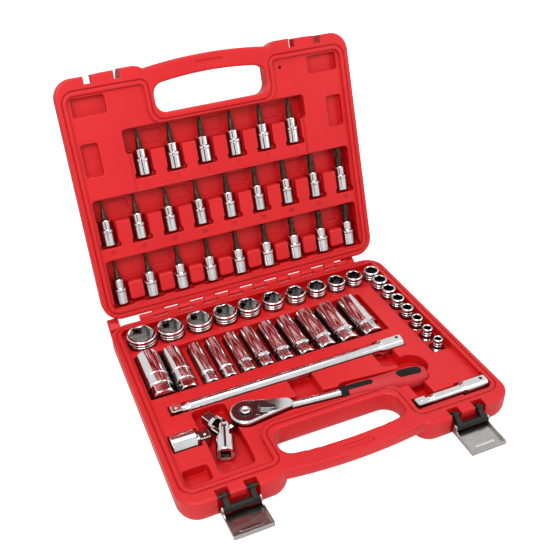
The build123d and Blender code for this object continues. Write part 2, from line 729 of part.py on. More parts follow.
def latch_plate_pin(x):
    _, end_y, end_z = link_end(x)
    half = PLATE_WIDTH / 2 + PLATE_SHEET / 4
    return swing_link(bar_along_x(LATCH_PIN_RADIUS, x - half, x + half, end_y, end_z))


def latch_pivot_pin(x):
    reach = LATCH_POCKET_WIDTH / 2 + LATCH_PIN_BURY - LATCH_SIDE_CLEARANCE
    return bar_along_x(LATCH_PIN_RADIUS, x - reach, x + reach, -PIVOT_FROM_HINGE, -PIVOT_BELOW_RIM)


# Sockets stand on their drive end with the hex mouth up
def socket_body(size, length, step):
    top = nut_end_diameter(size) / 2
    foot = max(DRIVE_END_DIAMETER, 0.9 * nut_end_diameter(size)) / 2
    slope = abs(top - foot)
    ring = step - SOCKET_GROOVE * 2
    profile = [
        (0, 0),
        (foot - SOCKET_CHAMFER, 0),
        (foot, SOCKET_CHAMFER),
        (foot, ring - SOCKET_GROOVE * 2),
        (foot - SOCKET_GROOVE, ring - SOCKET_GROOVE),
        (foot, ring),
        (foot, step),
        (top, step + slope),
    ]
    for below_mouth in TURNED_LINES:
        line = length - below_mouth
        profile.append((top, line - SOCKET_GROOVE))
        profile.append((top - SOCKET_GROOVE, line))
        profile.append((top, line + SOCKET_GROOVE))
    profile.append((top, length - SOCKET_CHAMFER))
    profile.append((top - SOCKET_CHAMFER, length))
    profile.append((0, length))
    return turned(profile)


def hex_mouth(size, length, depth):
    flare = size / 2 + SOCKET_CHAMFER
    start = length - SOCKET_CHAMFER
    lead = turned(((0, start), (size / 2, start), (flare, length), (0, length)))
    return hex_prism(size, length - depth, length) + lead


def through_bore(size, length):
    return post(min(size, DRIVE_HOLE) * 0.4, 0, 0, 0, length)


def shallow_socket(size, length):
    solid = socket_body(size, length, length * 0.42)
    solid -= hex_mouth(size, length, length * SHALLOW_HEX_SHARE)
    solid -= square_prism(DRIVE_HOLE, 0, DRIVE_HOLE_DEEP)
    return solid - through_bore(size, length)


# Deep socket from the drive end: end ring, marked band, raised collar, long barrel
def deep_socket(size):
    barrel = widest_radius(size)
    collar = barrel + DEEP_COLLAR_PROUD
    band = max(DRIVE_END_DIAMETER / 2, barrel - DEEP_BAND_INSET)
    neck = band - SOCKET_GROOVE
    collar_end = DEEP_COLLAR_FROM_DRIVE_END + DEEP_COLLAR_LENGTH
    profile = (
        (0, 0),
        (band - SOCKET_CHAMFER, 0),
        (band, SOCKET_CHAMFER),
        (band, DEEP_RING_LENGTH),
        (neck, DEEP_RING_LENGTH + SOCKET_GROOVE),
        (neck, DEEP_COLLAR_FROM_DRIVE_END - SOCKET_GROOVE),
        (collar, DEEP_COLLAR_FROM_DRIVE_END + SOCKET_GROOVE),
        (collar, collar_end - SOCKET_GROOVE),
        (barrel, collar_end + SOCKET_GROOVE),
        (barrel, DEEP_LENGTH - SOCKET_CHAMFER),
        (barrel - SOCKET_CHAMFER, DEEP_LENGTH),
        (0, DEEP_LENGTH),
    )
    solid = turned(profile)
    solid -= hex_mouth(size, DEEP_LENGTH, DEEP_HEX_DEEP)
    solid -= square_prism(DRIVE_HOLE, 0, DRIVE_HOLE_DEEP)
    return solid - through_bore(size, DEEP_LENGTH)


# Spark plug socket from the drive end: hexagon, collar, marked band, long barrel
def spark_socket(size):
    barrel = widest_radius(size)
    band = barrel - SOCKET_GROOVE
    collar_end = SPARK_HEX_LENGTH + SPARK_COLLAR_LENGTH
    band_end = collar_end + SPARK_BAND_LENGTH
    profile = (
        (0, SPARK_HEX_LENGTH - SOCKET_GROOVE),
        (barrel - SOCKET_CHAMFER, SPARK_HEX_LENGTH - SOCKET_GROOVE),
        (barrel, SPARK_HEX_LENGTH + SOCKET_GROOVE),
        (barrel, collar_end),
        (band, collar_end + SOCKET_GROOVE),
        (band, band_end),
        (barrel, band_end + SOCKET_GROOVE),
        (barrel, SPARK_LENGTH - SOCKET_CHAMFER),
        (barrel - SOCKET_CHAMFER, SPARK_LENGTH),
        (0, SPARK_LENGTH),
    )
    solid = turned(profile)
    across = 2 * barrel * SPARK_HEX_SHARE
    hexagon = hex_prism(across, 0, SPARK_HEX_LENGTH)
    slope = barrel - across / 2
    round_over = (
        (0, 0),
        (across / 2, 0),
        (barrel, slope),
        (barrel, SPARK_HEX_LENGTH),
        (0, SPARK_HEX_LENGTH),
    )
    solid += hexagon & turned(round_over)
    solid -= hex_mouth(size, SPARK_LENGTH, DEEP_HEX_DEEP)
    solid -= square_prism(DRIVE_HOLE, 0, DRIVE_HOLE_DEEP)
    return solid - through_bore(size, SPARK_LENGTH)


def standing_sockets():
    seats = []
    for (size, length, _), x in zip(ROW_SOCKETS, ROW_PLACES):
        seats.append((size, length, x, ROW_FROM_HINGE))
    for number, size in enumerate(COLUMN_SOCKETS):
        place = ROW_FROM_HINGE + COLUMN_PITCH * number
        seats.append((size, COLUMN_SOCKET_LENGTH, COLUMN_PLACE, place))
    return seats


# A lying socket points its hex mouth at the hinge and its drive end at the handle
def lay_down(shape, x):
    return Pos(x, -DEEP_FRONT, -DEEP_AXIS) * Rot(-90, 0, 0) * shape


def drive_square(z0):
    square = square_prism(DRIVE_SQUARE, z0, z0 + SQUARE_LENGTH, SQUARE_CHAMFER)
    ball_y = DRIVE_SQUARE / 2 + BALL_PROUD - BALL_RADIUS
    return square + Pos(0, ball_y, z0 + SQUARE_LENGTH / 2) * Sphere(BALL_RADIUS)


# Extension bar along z, female head at the bottom and male square at the top
def extension_bar(length):
    shaft_end = length - SQUARE_LENGTH - BAR_NECK_LENGTH
    profile = (
        (0, 0),
        (BAR_HEAD_RADIUS - SOCKET_CHAMFER, 0),
        (BAR_HEAD_RADIUS, SOCKET_CHAMFER),
        (BAR_HEAD_RADIUS, BAR_HEAD_LENGTH),
        (BAR_RADIUS, BAR_HEAD_LENGTH + BAR_SHOULDER),
        (BAR_RADIUS, shaft_end - BAR_SHOULDER),
        (BAR_NECK_RADIUS, shaft_end),
        (BAR_NECK_RADIUS, length - SQUARE_LENGTH),
        (0, length - SQUARE_LENGTH),
    )
    solid = turned(profile)
    solid -= square_prism(DRIVE_HOLE, 0, DRIVE_HOLE_DEEP)
    dimple = SQUARE_LENGTH / 2 + (DRIVE_HOLE_DEEP - SQUARE_LENGTH)
    solid -= Pos(0, 0, dimple) * Rot(-90, 0, 0) * Cylinder(BALL_RADIUS, BAR_HEAD_RADIUS + 1, align=LOW)
    return solid + drive_square(length - SQUARE_LENGTH)


# Bars lie along x with the male square at the left and the ball on top
def lay_bar(shape, tip_x, length, from_hinge):
    return Pos(tip_x + length, -from_hinge, -BAR_AXIS) * Rot(0, -90, 0) * Rot(0, 0, -90) * shape


def adapter():
    shoulder = ADAPTER_LENGTH - SOCKET_CHAMFER
    neck_end = ADAPTER_LENGTH + ADAPTER_NECK_LENGTH
    profile = (
        (0, 0),
        (ADAPTER_RADIUS - SOCKET_CHAMFER, 0),
        (ADAPTER_RADIUS, SOCKET_CHAMFER),
        (ADAPTER_RADIUS, shoulder),
        (ADAPTER_RADIUS - SOCKET_CHAMFER, ADAPTER_LENGTH),
        (ADAPTER_NECK_RADIUS, neck_end),
        (0, neck_end),
    )
    solid = turned(profile) - square_prism(ADAPTER_HOLE, 0, ADAPTER_HOLE_DEEP)
    solid += drive_square(neck_end)
    return Pos(ADAPTER_END, -ADAPTER_FROM_HINGE, -ADAPTER_AXIS) * Rot(0, 90, 0) * Rot(0, 0, 90) * solid


# Universal joint drawn straight along z: socket fork below the pins, drive fork above
def fork_cut(pin_turn, z0, z1):
    slot = span_box(-JOINT_SLOT / 2, JOINT_SLOT / 2, -20, 20, z0, z1)
    for side in (-1, 1):
        slot += span_box(-20, 20, side * JOINT_EAR_WIDTH / 2, side * 20, z0, z1)
    return Rot(0, 0, pin_turn) * slot


def round_ears(solid, along, tip):
    corners = solid.edges().filter_by(along).filter_by_position(Axis.Z, tip - 0.01, tip + 0.01)
    return fillet(corners, JOINT_EAR_WIDTH * 0.4)


def joint_socket_fork():
    end = -JOINT_PIN_TO_SOCKET_END
    tip = JOINT_BLOCK / 2
    solid = post(JOINT_RADIUS, 0, 0, end, tip)
    solid = chamfer(solid.faces().sort_by(Axis.Z)[0].edges(), SOCKET_CHAMFER)
    solid -= fork_cut(0, -JOINT_SLOT_DEEP, tip + 1)
    solid = round_ears(solid, Axis.X, tip)
    solid -= bar_along_x(JOINT_PIN_RADIUS + JOINT_PIN_CLEARANCE, -20, 20, 0, 0)
    return solid - Pos(0, 0, end) * square_prism(DRIVE_HOLE, 0, DRIVE_HOLE_DEEP)


def joint_drive_fork():
    tip = -JOINT_BLOCK / 2
    shoulder = JOINT_PIN_TO_DRIVE_SHOULDER
    solid = post(JOINT_RADIUS, 0, 0, tip, shoulder)
    solid = chamfer(solid.faces().sort_by(Axis.Z)[-1].edges(), JOINT_RADIUS - JOINT_NECK_RADIUS)
    solid -= fork_cut(90, tip - 1, JOINT_SLOT_DEEP)
    solid = round_ears(solid, Axis.Y, tip)
    solid -= bar_along_y(JOINT_CROSS_PIN_RADIUS + JOINT_PIN_CLEARANCE, 0, -20, 20, 0)
    return solid + drive_square(shoulder)


def joint_block():
    half = JOINT_BLOCK / 2
    solid = span_box(-half, half, -half, half, -half, half)
    solid = fillet(solid.edges(), half / 4)
    solid -= bar_along_x(JOINT_PIN_RADIUS + JOINT_PIN_CLEARANCE, -20, 20, 0, 0)
    return solid - bar_along_y(JOINT_CROSS_PIN_RADIUS + JOINT_PIN_CLEARANCE, 0, -20, 20, 0)


def joint_pins():
    reach = JOINT_RADIUS - JOINT_PIN_INSET
    main = bar_along_x(JOINT_PIN_RADIUS, -reach, reach, 0, 0)
    main -= bar_along_y(JOINT_CROSS_PIN_RADIUS + JOINT_PIN_CLEARANCE, 0, -20, 20, 0)
    cross = bar_along_y(JOINT_CROSS_PIN_RADIUS, 0, -reach, reach, 0)
    return [main, cross]


# The main pin stands upright in the case, so the joint bends flat in its seat
def lay_joint(shape, bent):
    flat = Rot(0, 0, JOINT_SOCKET_HEADING) * Rot(0, -90, 0) * shape
    turned_flat = Rot(0, 0, JOINT_BEND) * flat if bent else flat
    return Pos(JOINT_X, -JOINT_FROM_HINGE, -JOINT_AXIS) * turned_flat


# Ratchet pieces, gear centre on the origin, drive square down
def pear(radius, neck_place, neck_radius):
    head = Circle(radius)
    neck = Pos(neck_place, 0) * Circle(neck_radius)
    return make_hull(head.edges() + neck.edges())


HEAD_TOP = HEAD_THICK / 2
CAVITY_FLOOR = HEAD_TOP - COVER_THICK - GEAR_THICK - 2 * GEAR_RUNNING_CLEARANCE


def cover_outline(grow):
    return pear(HEAD_RADIUS - COVER_INSET + grow, PAWL_PLACE, COVER_NECK_RADIUS + grow)


def screw_places():
    return [(SCREW_PLACE_X, side * SCREW_PLACE_Y) for side in (-1, 1)]


# Seen from the side the head keeps its full thickness past the pawl, then thins into the shank
def head_side_view():
    corners = []
    for x, half in ((-40, HEAD_TOP), (HEAD_TAPER_START, HEAD_TOP), (HEAD_NECK_PLACE + 10, HEAD_NECK_RADIUS)):
        corners.append((x, half))
    for x, half in reversed(list(corners)):
        corners.append((x, -half))
    side = make_face(Plane.XZ * Polyline(*corners, close=True))
    return extrude(side, 40, both=True)


def ratchet_body():
    head = Pos(0, 0, -HEAD_TOP) * extrude(pear(HEAD_RADIUS, HEAD_NECK_PLACE, HEAD_NECK_RADIUS), HEAD_THICK)
    flats = head.faces().sort_by(Axis.Z)
    head = fillet(flats[0].edges() + flats[-1].edges(), HEAD_ROUND)
    head &= bar_along_x(HEAD_TOP * 2.4, -40, 80, 0, 0)
    head &= head_side_view()
    shank = (
        (0, HEAD_NECK_PLACE - 12),
        (HEAD_NECK_RADIUS, HEAD_NECK_PLACE - 12),
        (SHANK_WAIST_RADIUS, HEAD_NECK_PLACE + 16),
        (SHANK_END_RADIUS, GRIP_START - 4),
        (SHANK_END_RADIUS, GRIP_START),
        (TANG_RADIUS, GRIP_START),
        (TANG_RADIUS, TANG_END),
        (0, TANG_END),
    )
    solid = head + Rot(0, 90, 0) * turned(shank)
    solid -= Pos(0, 0, HEAD_TOP - COVER_THICK) * extrude(cover_outline(COVER_FIT), COVER_THICK * 2)
    solid -= post(GEAR_TIP_RADIUS + GEAR_RUNNING_CLEARANCE, 0, 0, CAVITY_FLOOR, HEAD_TOP)
    solid -= post(PAWL_RADIUS + PAWL_POCKET_CLEARANCE, PAWL_PLACE, 0, CAVITY_FLOOR, HEAD_TOP)
    solid -= post(HUB_RADIUS + GEAR_RUNNING_CLEARANCE, 0, 0, -HEAD_THICK, HEAD_TOP)
    shaft_hole = LEVER_SHAFT_RADIUS + GEAR_RUNNING_CLEARANCE / 3
    solid -= post(shaft_hole, PAWL_PLACE, 0, CAVITY_FLOOR - 3, HEAD_TOP)
    for x, y in screw_places():
        solid -= post(SCREW_SHANK_RADIUS, x, y, HEAD_TOP - COVER_THICK - SCREW_LENGTH, HEAD_TOP)
    return solid


def ratchet_cover():
    low = HEAD_TOP - COVER_THICK
    solid = Pos(0, 0, low) * extrude(cover_outline(0), COVER_THICK)
    solid = chamfer(solid.faces().sort_by(Axis.Z)[-1].edges(), 0.4)
    solid -= post(BUTTON_WELL_RADIUS, 0, 0, low, HEAD_TOP)
    solid -= post(LEVER_SHAFT_RADIUS + GEAR_RUNNING_CLEARANCE / 3, PAWL_PLACE, 0, low, HEAD_TOP)
    for x, y in screw_places():
        solid -= post(SCREW_SHANK_RADIUS, x, y, low, HEAD_TOP)
        solid -= post(SCREW_HEAD_RADIUS + COVER_FIT, x, y, HEAD_TOP - SCREW_HEAD_THICK, HEAD_TOP)
    return solid


def cover_screws():
    screws = []
    slot_half = SCREW_SHANK_RADIUS / 4
    for x, y in screw_places():
        foot = HEAD_TOP - COVER_THICK - SCREW_LENGTH
        head = post(SCREW_HEAD_RADIUS, x, y, HEAD_TOP - SCREW_HEAD_THICK, HEAD_TOP)
        screw = head + post(SCREW_SHANK_RADIUS, x, y, foot, HEAD_TOP)
        slot_floor = HEAD_TOP - SCREW_HEAD_THICK / 2
        screw -= span_box(x - 5, x + 5, y - slot_half, y + slot_half, slot_floor, HEAD_TOP + 1)
        screws.append(screw)
    return screws


def tooth_ring(grow):
    points = []
    for number in range(GEAR_TEETH * 2):
        radius = GEAR_TIP_RADIUS + grow - (TOOTH_HEIGHT if number % 2 else 0)
        angle = math.pi * number / GEAR_TEETH
        points.append((radius * math.cos(angle), radius * math.sin(angle)))
    return make_face(Polyline(*points, close=True))


def drive_gear():
    low = CAVITY_FLOOR + GEAR_RUNNING_CLEARANCE
    solid = Pos(0, 0, low) * extrude(tooth_ring(0), GEAR_THICK)
    solid += post(HUB_RADIUS, 0, 0, -HEAD_TOP, low)
    solid += Rot(180, 0, 0) * drive_square(HEAD_TOP)
    top = low + GEAR_THICK
    solid -= post(BUTTON_RADIUS + BUTTON_CLEARANCE, 0, 0, top - BUTTON_TRAVEL - 1, top)
    return solid - post(BUTTON_STEM_RADIUS + BUTTON_CLEARANCE, 0, 0, -HEAD_TOP - SQUARE_LENGTH / 2, top)


def pawl():
    low = CAVITY_FLOOR + GEAR_RUNNING_CLEARANCE
    solid = post(PAWL_RADIUS, PAWL_PLACE, 0, low, low + GEAR_THICK)
    solid -= post(LEVER_SHAFT_RADIUS + GEAR_RUNNING_CLEARANCE / 3, PAWL_PLACE, 0, low, low + GEAR_THICK)
    teeth = Pos(0, 0, low) * extrude(tooth_ring(PAWL_TOOTH_CLEARANCE), GEAR_THICK)
    pivot = Axis((PAWL_PLACE, 0, 0), (0, 0, 1))
    for step in range(PAWL_STEPS + 1):
        solid -= teeth.rotate(pivot, -PAWL_ROCK * step / PAWL_STEPS)
    return solid


def reverse_lever():
    low = HEAD_TOP + GEAR_RUNNING_CLEARANCE
    hub = post(LEVER_HUB_RADIUS, PAWL_PLACE, 0, low, low + LEVER_THICK)
    outline = pear(LEVER_HUB_RADIUS, LEVER_LENGTH, LEVER_HUB_RADIUS * 0.6)
    tail = Pos(PAWL_PLACE, 0, low) * extrude(outline, LEVER_THICK)
    paddle = fillet((hub + tail).faces().sort_by(Axis.Z)[-1].edges(), 0.9)
    shaft = post(LEVER_SHAFT_RADIUS, PAWL_PLACE, 0, CAVITY_FLOOR - 2.5, low + 0.5)
    turn = Axis((PAWL_PLACE, 0, 0), (0, 0, 1))
    return (paddle + shaft).rotate(turn, -LEVER_TURN / 2)


def release_button():
    low = CAVITY_FLOOR + GEAR_RUNNING_CLEARANCE + GEAR_THICK
    top = HEAD_TOP + BUTTON_PROUD
    cap = post(BUTTON_RADIUS, 0, 0, low - 0.6, top)
    cap = fillet(cap.faces().sort_by(Axis.Z)[-1].edges(), 1.2)
    cap -= Pos(0, 0, top + 7.2) * Sphere(8.0)
    stem = post(BUTTON_STEM_RADIUS, 0, 0, -HEAD_TOP - SQUARE_LENGTH / 2 + BUTTON_TRAVEL + 1, low)
    return cap + stem


def grip_blank():
    sections = []
    for along, wide, tall in GRIP_SECTIONS:
        plane = Plane(origin=(GRIP_START + along, 0, 0), x_dir=(0, 1, 0), z_dir=(1, 0, 0))
        sections.append(plane * Ellipse(wide, tall))
    return loft(sections)


# Soft inlays: a saddle over the start of the grip with a stem along its top, and an oval near its end
def grip_core():
    return bar_along_x(TANG_RADIUS, GRIP_START - 1, TANG_END, 0, 0)


def inlay_prisms():
    saddle = span_box(GRIP_START - 1, GRIP_START + SADDLE_LENGTH, -20, 20, SADDLE_FLOOR, 20)
    stem_length = STEM_END - SADDLE_LENGTH / 2
    stem_middle = GRIP_START + SADDLE_LENGTH / 2 + stem_length / 2
    stem = Pos(stem_middle, 0, INLAY_FLOOR) * extrude(SlotOverall(stem_length, STEM_WIDTH), 20)
    oval = Pos(GRIP_START + OVAL_PLACE, 0, INLAY_FLOOR) * extrude(SlotOverall(OVAL_LENGTH, OVAL_WIDTH), 20)
    return [saddle + stem, oval]


def ratchet_grip():
    solid = grip_blank() - grip_core()
    for prism in inlay_prisms():
        solid -= prism
    return solid


def grip_inlays():
    blank = grip_blank() - grip_core()
    return [blank & prism for prism in inlay_prisms()]


def lay_ratchet(shape):
    place = Pos(RATCHET_X, -RATCHET_FROM_HINGE, -RATCHET_AXIS)
    return place * Rot(0, 0, RATCHET_HEADING) * shape


# Seats in the base
def channel_along_x(radius, x0, x1, from_hinge, axis):
    under = bar_along_x(radius, x0, x1, -from_hinge, -axis)
    return under + span_box(x0, x1, -from_hinge - radius, -from_hinge + radius, -axis, 1)


def socket_seats():
    floor = -BASE_PANEL_DROP - TROUGH_DROP
    row = span_box(-TROUGH_END_LEFT, TROUGH_END_RIGHT, -ROW_TROUGH_BACK, -ROW_TROUGH_FRONT, floor, 1)
    last = ROW_FROM_HINGE + COLUMN_PITCH * (len(COLUMN_SOCKETS) - 1) + DRIVE_END_DIAMETER / 2
    column = span_box(
        COLUMN_TROUGH_INNER,
        TROUGH_END_RIGHT,
        -ROW_TROUGH_BACK,
        -last - SEAT_CLEARANCE * 4,
        floor,
        1,
    )
    cuts = row + column
    for size, length, x, from_hinge in standing_sockets():
        radius = widest_radius(size) + SEAT_CLEARANCE
        cuts += post(radius, x, -from_hinge, TOOL_TOP - length, 1)
    return cuts


def lying_seats():
    floor = -BASE_PANEL_DROP - DEEP_TROUGH_DROP
    cuts = span_box(-TROUGH_END_LEFT, DEEP_TROUGH_RIGHT, -DEEP_TROUGH_BACK, -DEEP_TROUGH_FRONT, floor, 1)
    rows = ((DEEP_SOCKETS, DEEP_PLACES, DEEP_LENGTH), (SPARK_SOCKETS, SPARK_PLACES, SPARK_LENGTH))
    for sockets, places, length in rows:
        for (size, _), x in zip(sockets, places):
            radius = widest_radius(size) + DEEP_COLLAR_PROUD + SEAT_CLEARANCE
            back = -DEEP_FRONT + length + SEAT_CLEARANCE
            cuts += bar_along_y(radius, x, -DEEP_TROUGH_FRONT, back, -DEEP_AXIS)
    return cuts


def bar_seats():
    wide = BAR_HEAD_RADIUS + SEAT_CLEARANCE
    slim = BAR_SEAT_RADIUS
    bars = (
        (LONG_BAR_TIP, LONG_BAR_LENGTH, LONG_BAR_FROM_HINGE),
        (SHORT_BAR_TIP, SHORT_BAR_LENGTH, SHORT_BAR_FROM_HINGE),
    )
    cuts = None
    for tip, length, from_hinge in bars:
        end = tip + length + SEAT_CLEARANCE
        head = end - BAR_HEAD_LENGTH - BAR_SHOULDER - BAR_END_PLAY
        seat = channel_along_x(slim, tip - BAR_END_PLAY, head, from_hinge, BAR_AXIS)
        seat += channel_along_x(wide, head, end, from_hinge, BAR_AXIS)
        cuts = seat if cuts is None else cuts + seat
    return cuts


def adapter_seat():
    start = ADAPTER_END - SEAT_CLEARANCE
    neck = ADAPTER_END + ADAPTER_LENGTH + ADAPTER_NECK_LENGTH
    end = neck + SQUARE_LENGTH + BAR_END_PLAY
    seat = channel_along_x(ADAPTER_RADIUS + SEAT_CLEARANCE, start, neck, ADAPTER_FROM_HINGE, ADAPTER_AXIS)
    return seat + channel_along_x(BAR_SEAT_RADIUS, neck, end, ADAPTER_FROM_HINGE, ADAPTER_AXIS)


def joint_seat():
    deep = JOINT_AXIS + JOINT_RADIUS + SEAT_CLEARANCE
    well = make_face(FilletPolyline(*JOINT_WELL, radius=JOINT_WELL_CORNER, close=True))
    return Pos(JOINT_X, -JOINT_FROM_HINGE, -deep) * extrude(well, deep + 1)


def ratchet_seat():
    grow = RATCHET_POCKET_CLEARANCE
    head = pear(HEAD_RADIUS + grow, HEAD_NECK_PLACE, HEAD_NECK_RADIUS + grow)
    floor = -HEAD_TOP - SEAT_CLEARANCE
    seat = Pos(0, 0, floor) * extrude(head, HEAD_THICK * 2)
    square_well = DRIVE_SQUARE * 0.75 + grow
    seat += post(square_well, 0, 0, floor - SQUARE_LENGTH - SEAT_CLEARANCE, 0)
    shank = HEAD_NECK_RADIUS + grow
    seat += bar_along_x(shank, HEAD_NECK_PLACE, GRIP_START + 4, 0, 0)
    seat += span_box(HEAD_NECK_PLACE, GRIP_START + 4, -shank, shank, 0, 20)
    widest = max(wide for _, wide, _ in GRIP_SECTIONS) + grow
    tallest = max(tall for _, _, tall in GRIP_SECTIONS) + SEAT_CLEARANCE
    end = GRIP_START + GRIP_SECTIONS[-1][0] + grow
    seat += rounded_pit(GRIP_START, end, -widest, widest, -tallest, 20, 8.0)
    return lay_ratchet(seat)


def spare_and_scoops():
    x = SPARE_POCKET_FROM_LEFT - HALF_WIDTH
    wide, tall = SPARE_POCKET_SIZE
    cuts = rounded_pit(
        x - wide / 2,
        x + wide / 2,
        -SPARE_POCKET_FROM_HINGE - tall / 2,
        -SPARE_POCKET_FROM_HINGE + tall / 2,
        -SPARE_POCKET_DEEP,
        1,
        3.0,
    )
    gear_y = -RATCHET_FROM_HINGE
    for left, right, back, front in FINGER_SCOOPS:
        scoop = (RATCHET_X + left, RATCHET_X + right, gear_y - front, gear_y + back)
        cuts += rounded_pit(*scoop, -SCOOP_DEEP, 1, SCOOP_CORNER)
    along, ahead, round_radius = ROUND_SCOOP
    return cuts + post(round_radius, RATCHET_X + along, gear_y + ahead, -SCOOP_DEEP, 1)


def base_shell():
    body = case_half(BASE_PANEL_DROP)
    for side in (-1, 1):
        body -= base_latch_cut(side * LATCH_PLACE)
        body += stop_lug(side * STOP_LUG_PLACE)
    for knuckle in knuckles(BASE_KNUCKLES):
        body += knuckle
    body -= hinge_bore()
    seats = socket_seats() + lying_seats() + bar_seats() + adapter_seat()
    seats += joint_seat() + spare_and_scoops()
    body -= seats
    body -= ratchet_seat()
    slot = Pos(3.5, -(HANDLE_OPENING_FAR_MID + HANDLE_FRONT_MID) / 2, RIM_Z - GRIP_SLOT_DEEP)
    return body - slot * extrude(SlotOverall(GRIP_SLOT_LENGTH, GRIP_SLOT_WIDTH), 2 * GRIP_SLOT_DEEP)


# Seats in the lid
def bit_places(row):
    count, foot, _ = BIT_ROWS[row]
    return [(BIT_PITCH * (number - (count - 1) / 2), foot) for number in range(count)]


def bit_row_cut(row):
    foot = BIT_ROWS[row][1]
    half = LID_TROUGH_ENDS[row]
    low = -foot - BIT_HOLDER_LENGTH + 3
    high = low - LID_TROUGH_HEIGHT
    cuts = rounded_pit(-half, half, high, low, -LID_TROUGH_DEEP, 1, LID_TROUGH_CORNER)
    radius = BIT_LIP_RADIUS + BIT_SEAT_CLEARANCE
    for number, (x, _) in enumerate(bit_places(row)):
        y0 = low - 1
        y1 = -foot + BIT_SEAT_CLEARANCE
        cuts += bar_along_y(radius, x, y0, y1, -BIT_AXIS)
        wide = radius + BIT_SEAT_FLARE
        cuts += span_box(x - wide, x + wide, y0, y1, -BIT_AXIS + BIT_SEAT_FLARE, 1)
        foot_half = wide + BIT_FOOT_FLARE
        foot_end = y1 + BIT_FOOT_FLARE
        foot_floor = -BIT_AXIS - BIT_FOOT_FLARE
        foot_start = y1 - BIT_FOOT_LENGTH
        foot_span = (x - foot_half, x + foot_half, foot_start, foot_end)
        cuts += rounded_pit(*foot_span, foot_floor, 1, BIT_FOOT_FLARE)
        if number % 2 == row % 2:
            wide, tall = DIMPLE_SIZE
            middle = x + BIT_PITCH / 2
            y = (high + low) / 2
            floor = -LID_TROUGH_DEEP - DIMPLE_DEEP
            if middle + wide / 2 < half:
                cuts += rounded_pit(
                    middle - wide / 2,
                    middle + wide / 2,
                    y - tall / 2,
                    y + tall / 2,
                    floor,
                    -LID_TROUGH_DEEP + 1,
                    3.0,
                )
    return cuts


def lid_recesses():
    cuts = None
    for side in (-1, 1):
        for wide, near, far in (LABEL_RECESS, SIDE_RECESS):
            outer = HALF_WIDTH - RECESS_FROM_SIDE
            inner = outer - wide
            x0 = min(side * inner, side * outer)
            x1 = max(side * inner, side * outer)
            pit = rounded_pit(x0, x1, -far, -near, -LID_PANEL_DROP - RECESS_DEEP, 1, RECESS_CORNER)
            cuts = pit if cuts is None else cuts + pit
    foot = BIT_ROWS[0][1]
    step_floor = -LID_PANEL_DROP - LEDGE_STEP_DROP
    far = -foot - BIT_HOLDER_LENGTH + 2
    cuts += span_box(-LEDGE_STEP_HALF, LEDGE_STEP_HALF, far, -foot + 14, step_floor, 1)
    hole_x, hole_from_hinge, hole_radius = HANG_HOLE
    cuts += post(hole_radius, -hole_x, -hole_from_hinge, -LID_PANEL_DROP - RECESS_DEEP, 1)
    return cuts


# Rounded knobs stand between the bodies of the row nearest the hinge
def lower_row_knobs():
    foot = BIT_ROWS[2][1]
    knobs = []
    places = bit_places(2)
    top = -LID_PANEL_DROP - KNOB_DROP
    for (left, _), (right, _) in zip(places, places[1:]):
        middle = (left + right) / 2
        knob = span_box(
            middle - KNOB_WIDTH / 2,
            middle + KNOB_WIDTH / 2,
            -foot - BIT_HOLDER_LENGTH + 5,
            -foot - 2,
            -LID_TROUGH_DEEP - 1,
            top,
        )
        knob = fillet(knob.edges().filter_by(Axis.Z), KNOB_ROUND)
        knobs.append(fillet(knob.faces().sort_by(Axis.Z)[-1].edges(), KNOB_ROUND * 0.9))
    return knobs


def lid_shell():
    body = case_half(LID_PANEL_DROP)
    for side in (-1, 1):
        body -= lid_latch_cut(side)
    for knuckle in knuckles(BASE_KNUCKLES - 1):
        body += knuckle
    body -= hinge_bore()
    for row in range(len(BIT_ROWS)):
        body -= bit_row_cut(row)
    foot = BIT_ROWS[2][1]
    half = LID_TROUGH_ENDS[2]
    far = -foot - BIT_HOLDER_LENGTH
    near = -foot + BIT_SEAT_CLEARANCE
    body -= rounded_pit(-half, half, far, near, -LID_TROUGH_DEEP, 1, LID_TROUGH_CORNER)
    for knob in lower_row_knobs():
        body += knob
    body -= lid_recesses()
    outer = OUTER_PANEL_INSET
    body -= rounded_pit(
        -HALF_WIDTH + outer,
        HALF_WIDTH - outer,
        -HANDLE_OPENING_NEAR + outer,
        -outer,
        -HALF_DEPTH - 1,
        -HALF_DEPTH + OUTER_PANEL_DEEP,
        10.0,
    )
    slot = Pos(-2, -(HANDLE_OPENING_FAR_MID + HANDLE_FRONT_MID) / 2, RIM_Z - GRIP_SLOT_DEEP)
    return body - slot * extrude(SlotOverall(GRIP_SLOT_LENGTH, GRIP_SLOT_WIDTH), 2 * GRIP_SLOT_DEEP)


# Bit socket along y: drive end at the hinge side, bit pointing at the handle
def bit_holder():
    profile = (
        (0, 0),
        (BIT_BODY_RADIUS - SOCKET_CHAMFER, 0),
        (BIT_BODY_RADIUS, SOCKET_CHAMFER),
        (BIT_BODY_RADIUS, BIT_LIP_PLACE - SOCKET_GROOVE),
        (BIT_LIP_RADIUS, BIT_LIP_PLACE + SOCKET_GROOVE),
        (BIT_LIP_RADIUS, BIT_LIP_PLACE + BIT_LIP_LENGTH - SOCKET_GROOVE),
        (BIT_COLLAR_RADIUS, BIT_LIP_PLACE + BIT_LIP_LENGTH + SOCKET_GROOVE),
        (BIT_COLLAR_RADIUS, BIT_HOLDER_LENGTH - SOCKET_CHAMFER),
        (BIT_COLLAR_RADIUS - SOCKET_CHAMFER, BIT_HOLDER_LENGTH),
        (0, BIT_HOLDER_LENGTH),
    )
    solid = turned(profile) - square_prism(DRIVE_HOLE, 0, DRIVE_HOLE_DEEP)
    return solid - post(BIT_BORE_RADIUS, 0, 0, BIT_HOLDER_LENGTH - BIT_BORE_DEEP, BIT_HOLDER_LENGTH)


def bit_shank():
    foot = BIT_HOLDER_LENGTH - BIT_BURY
    return post(BIT_BORE_RADIUS, 0, 0, foot, BIT_HOLDER_LENGTH)


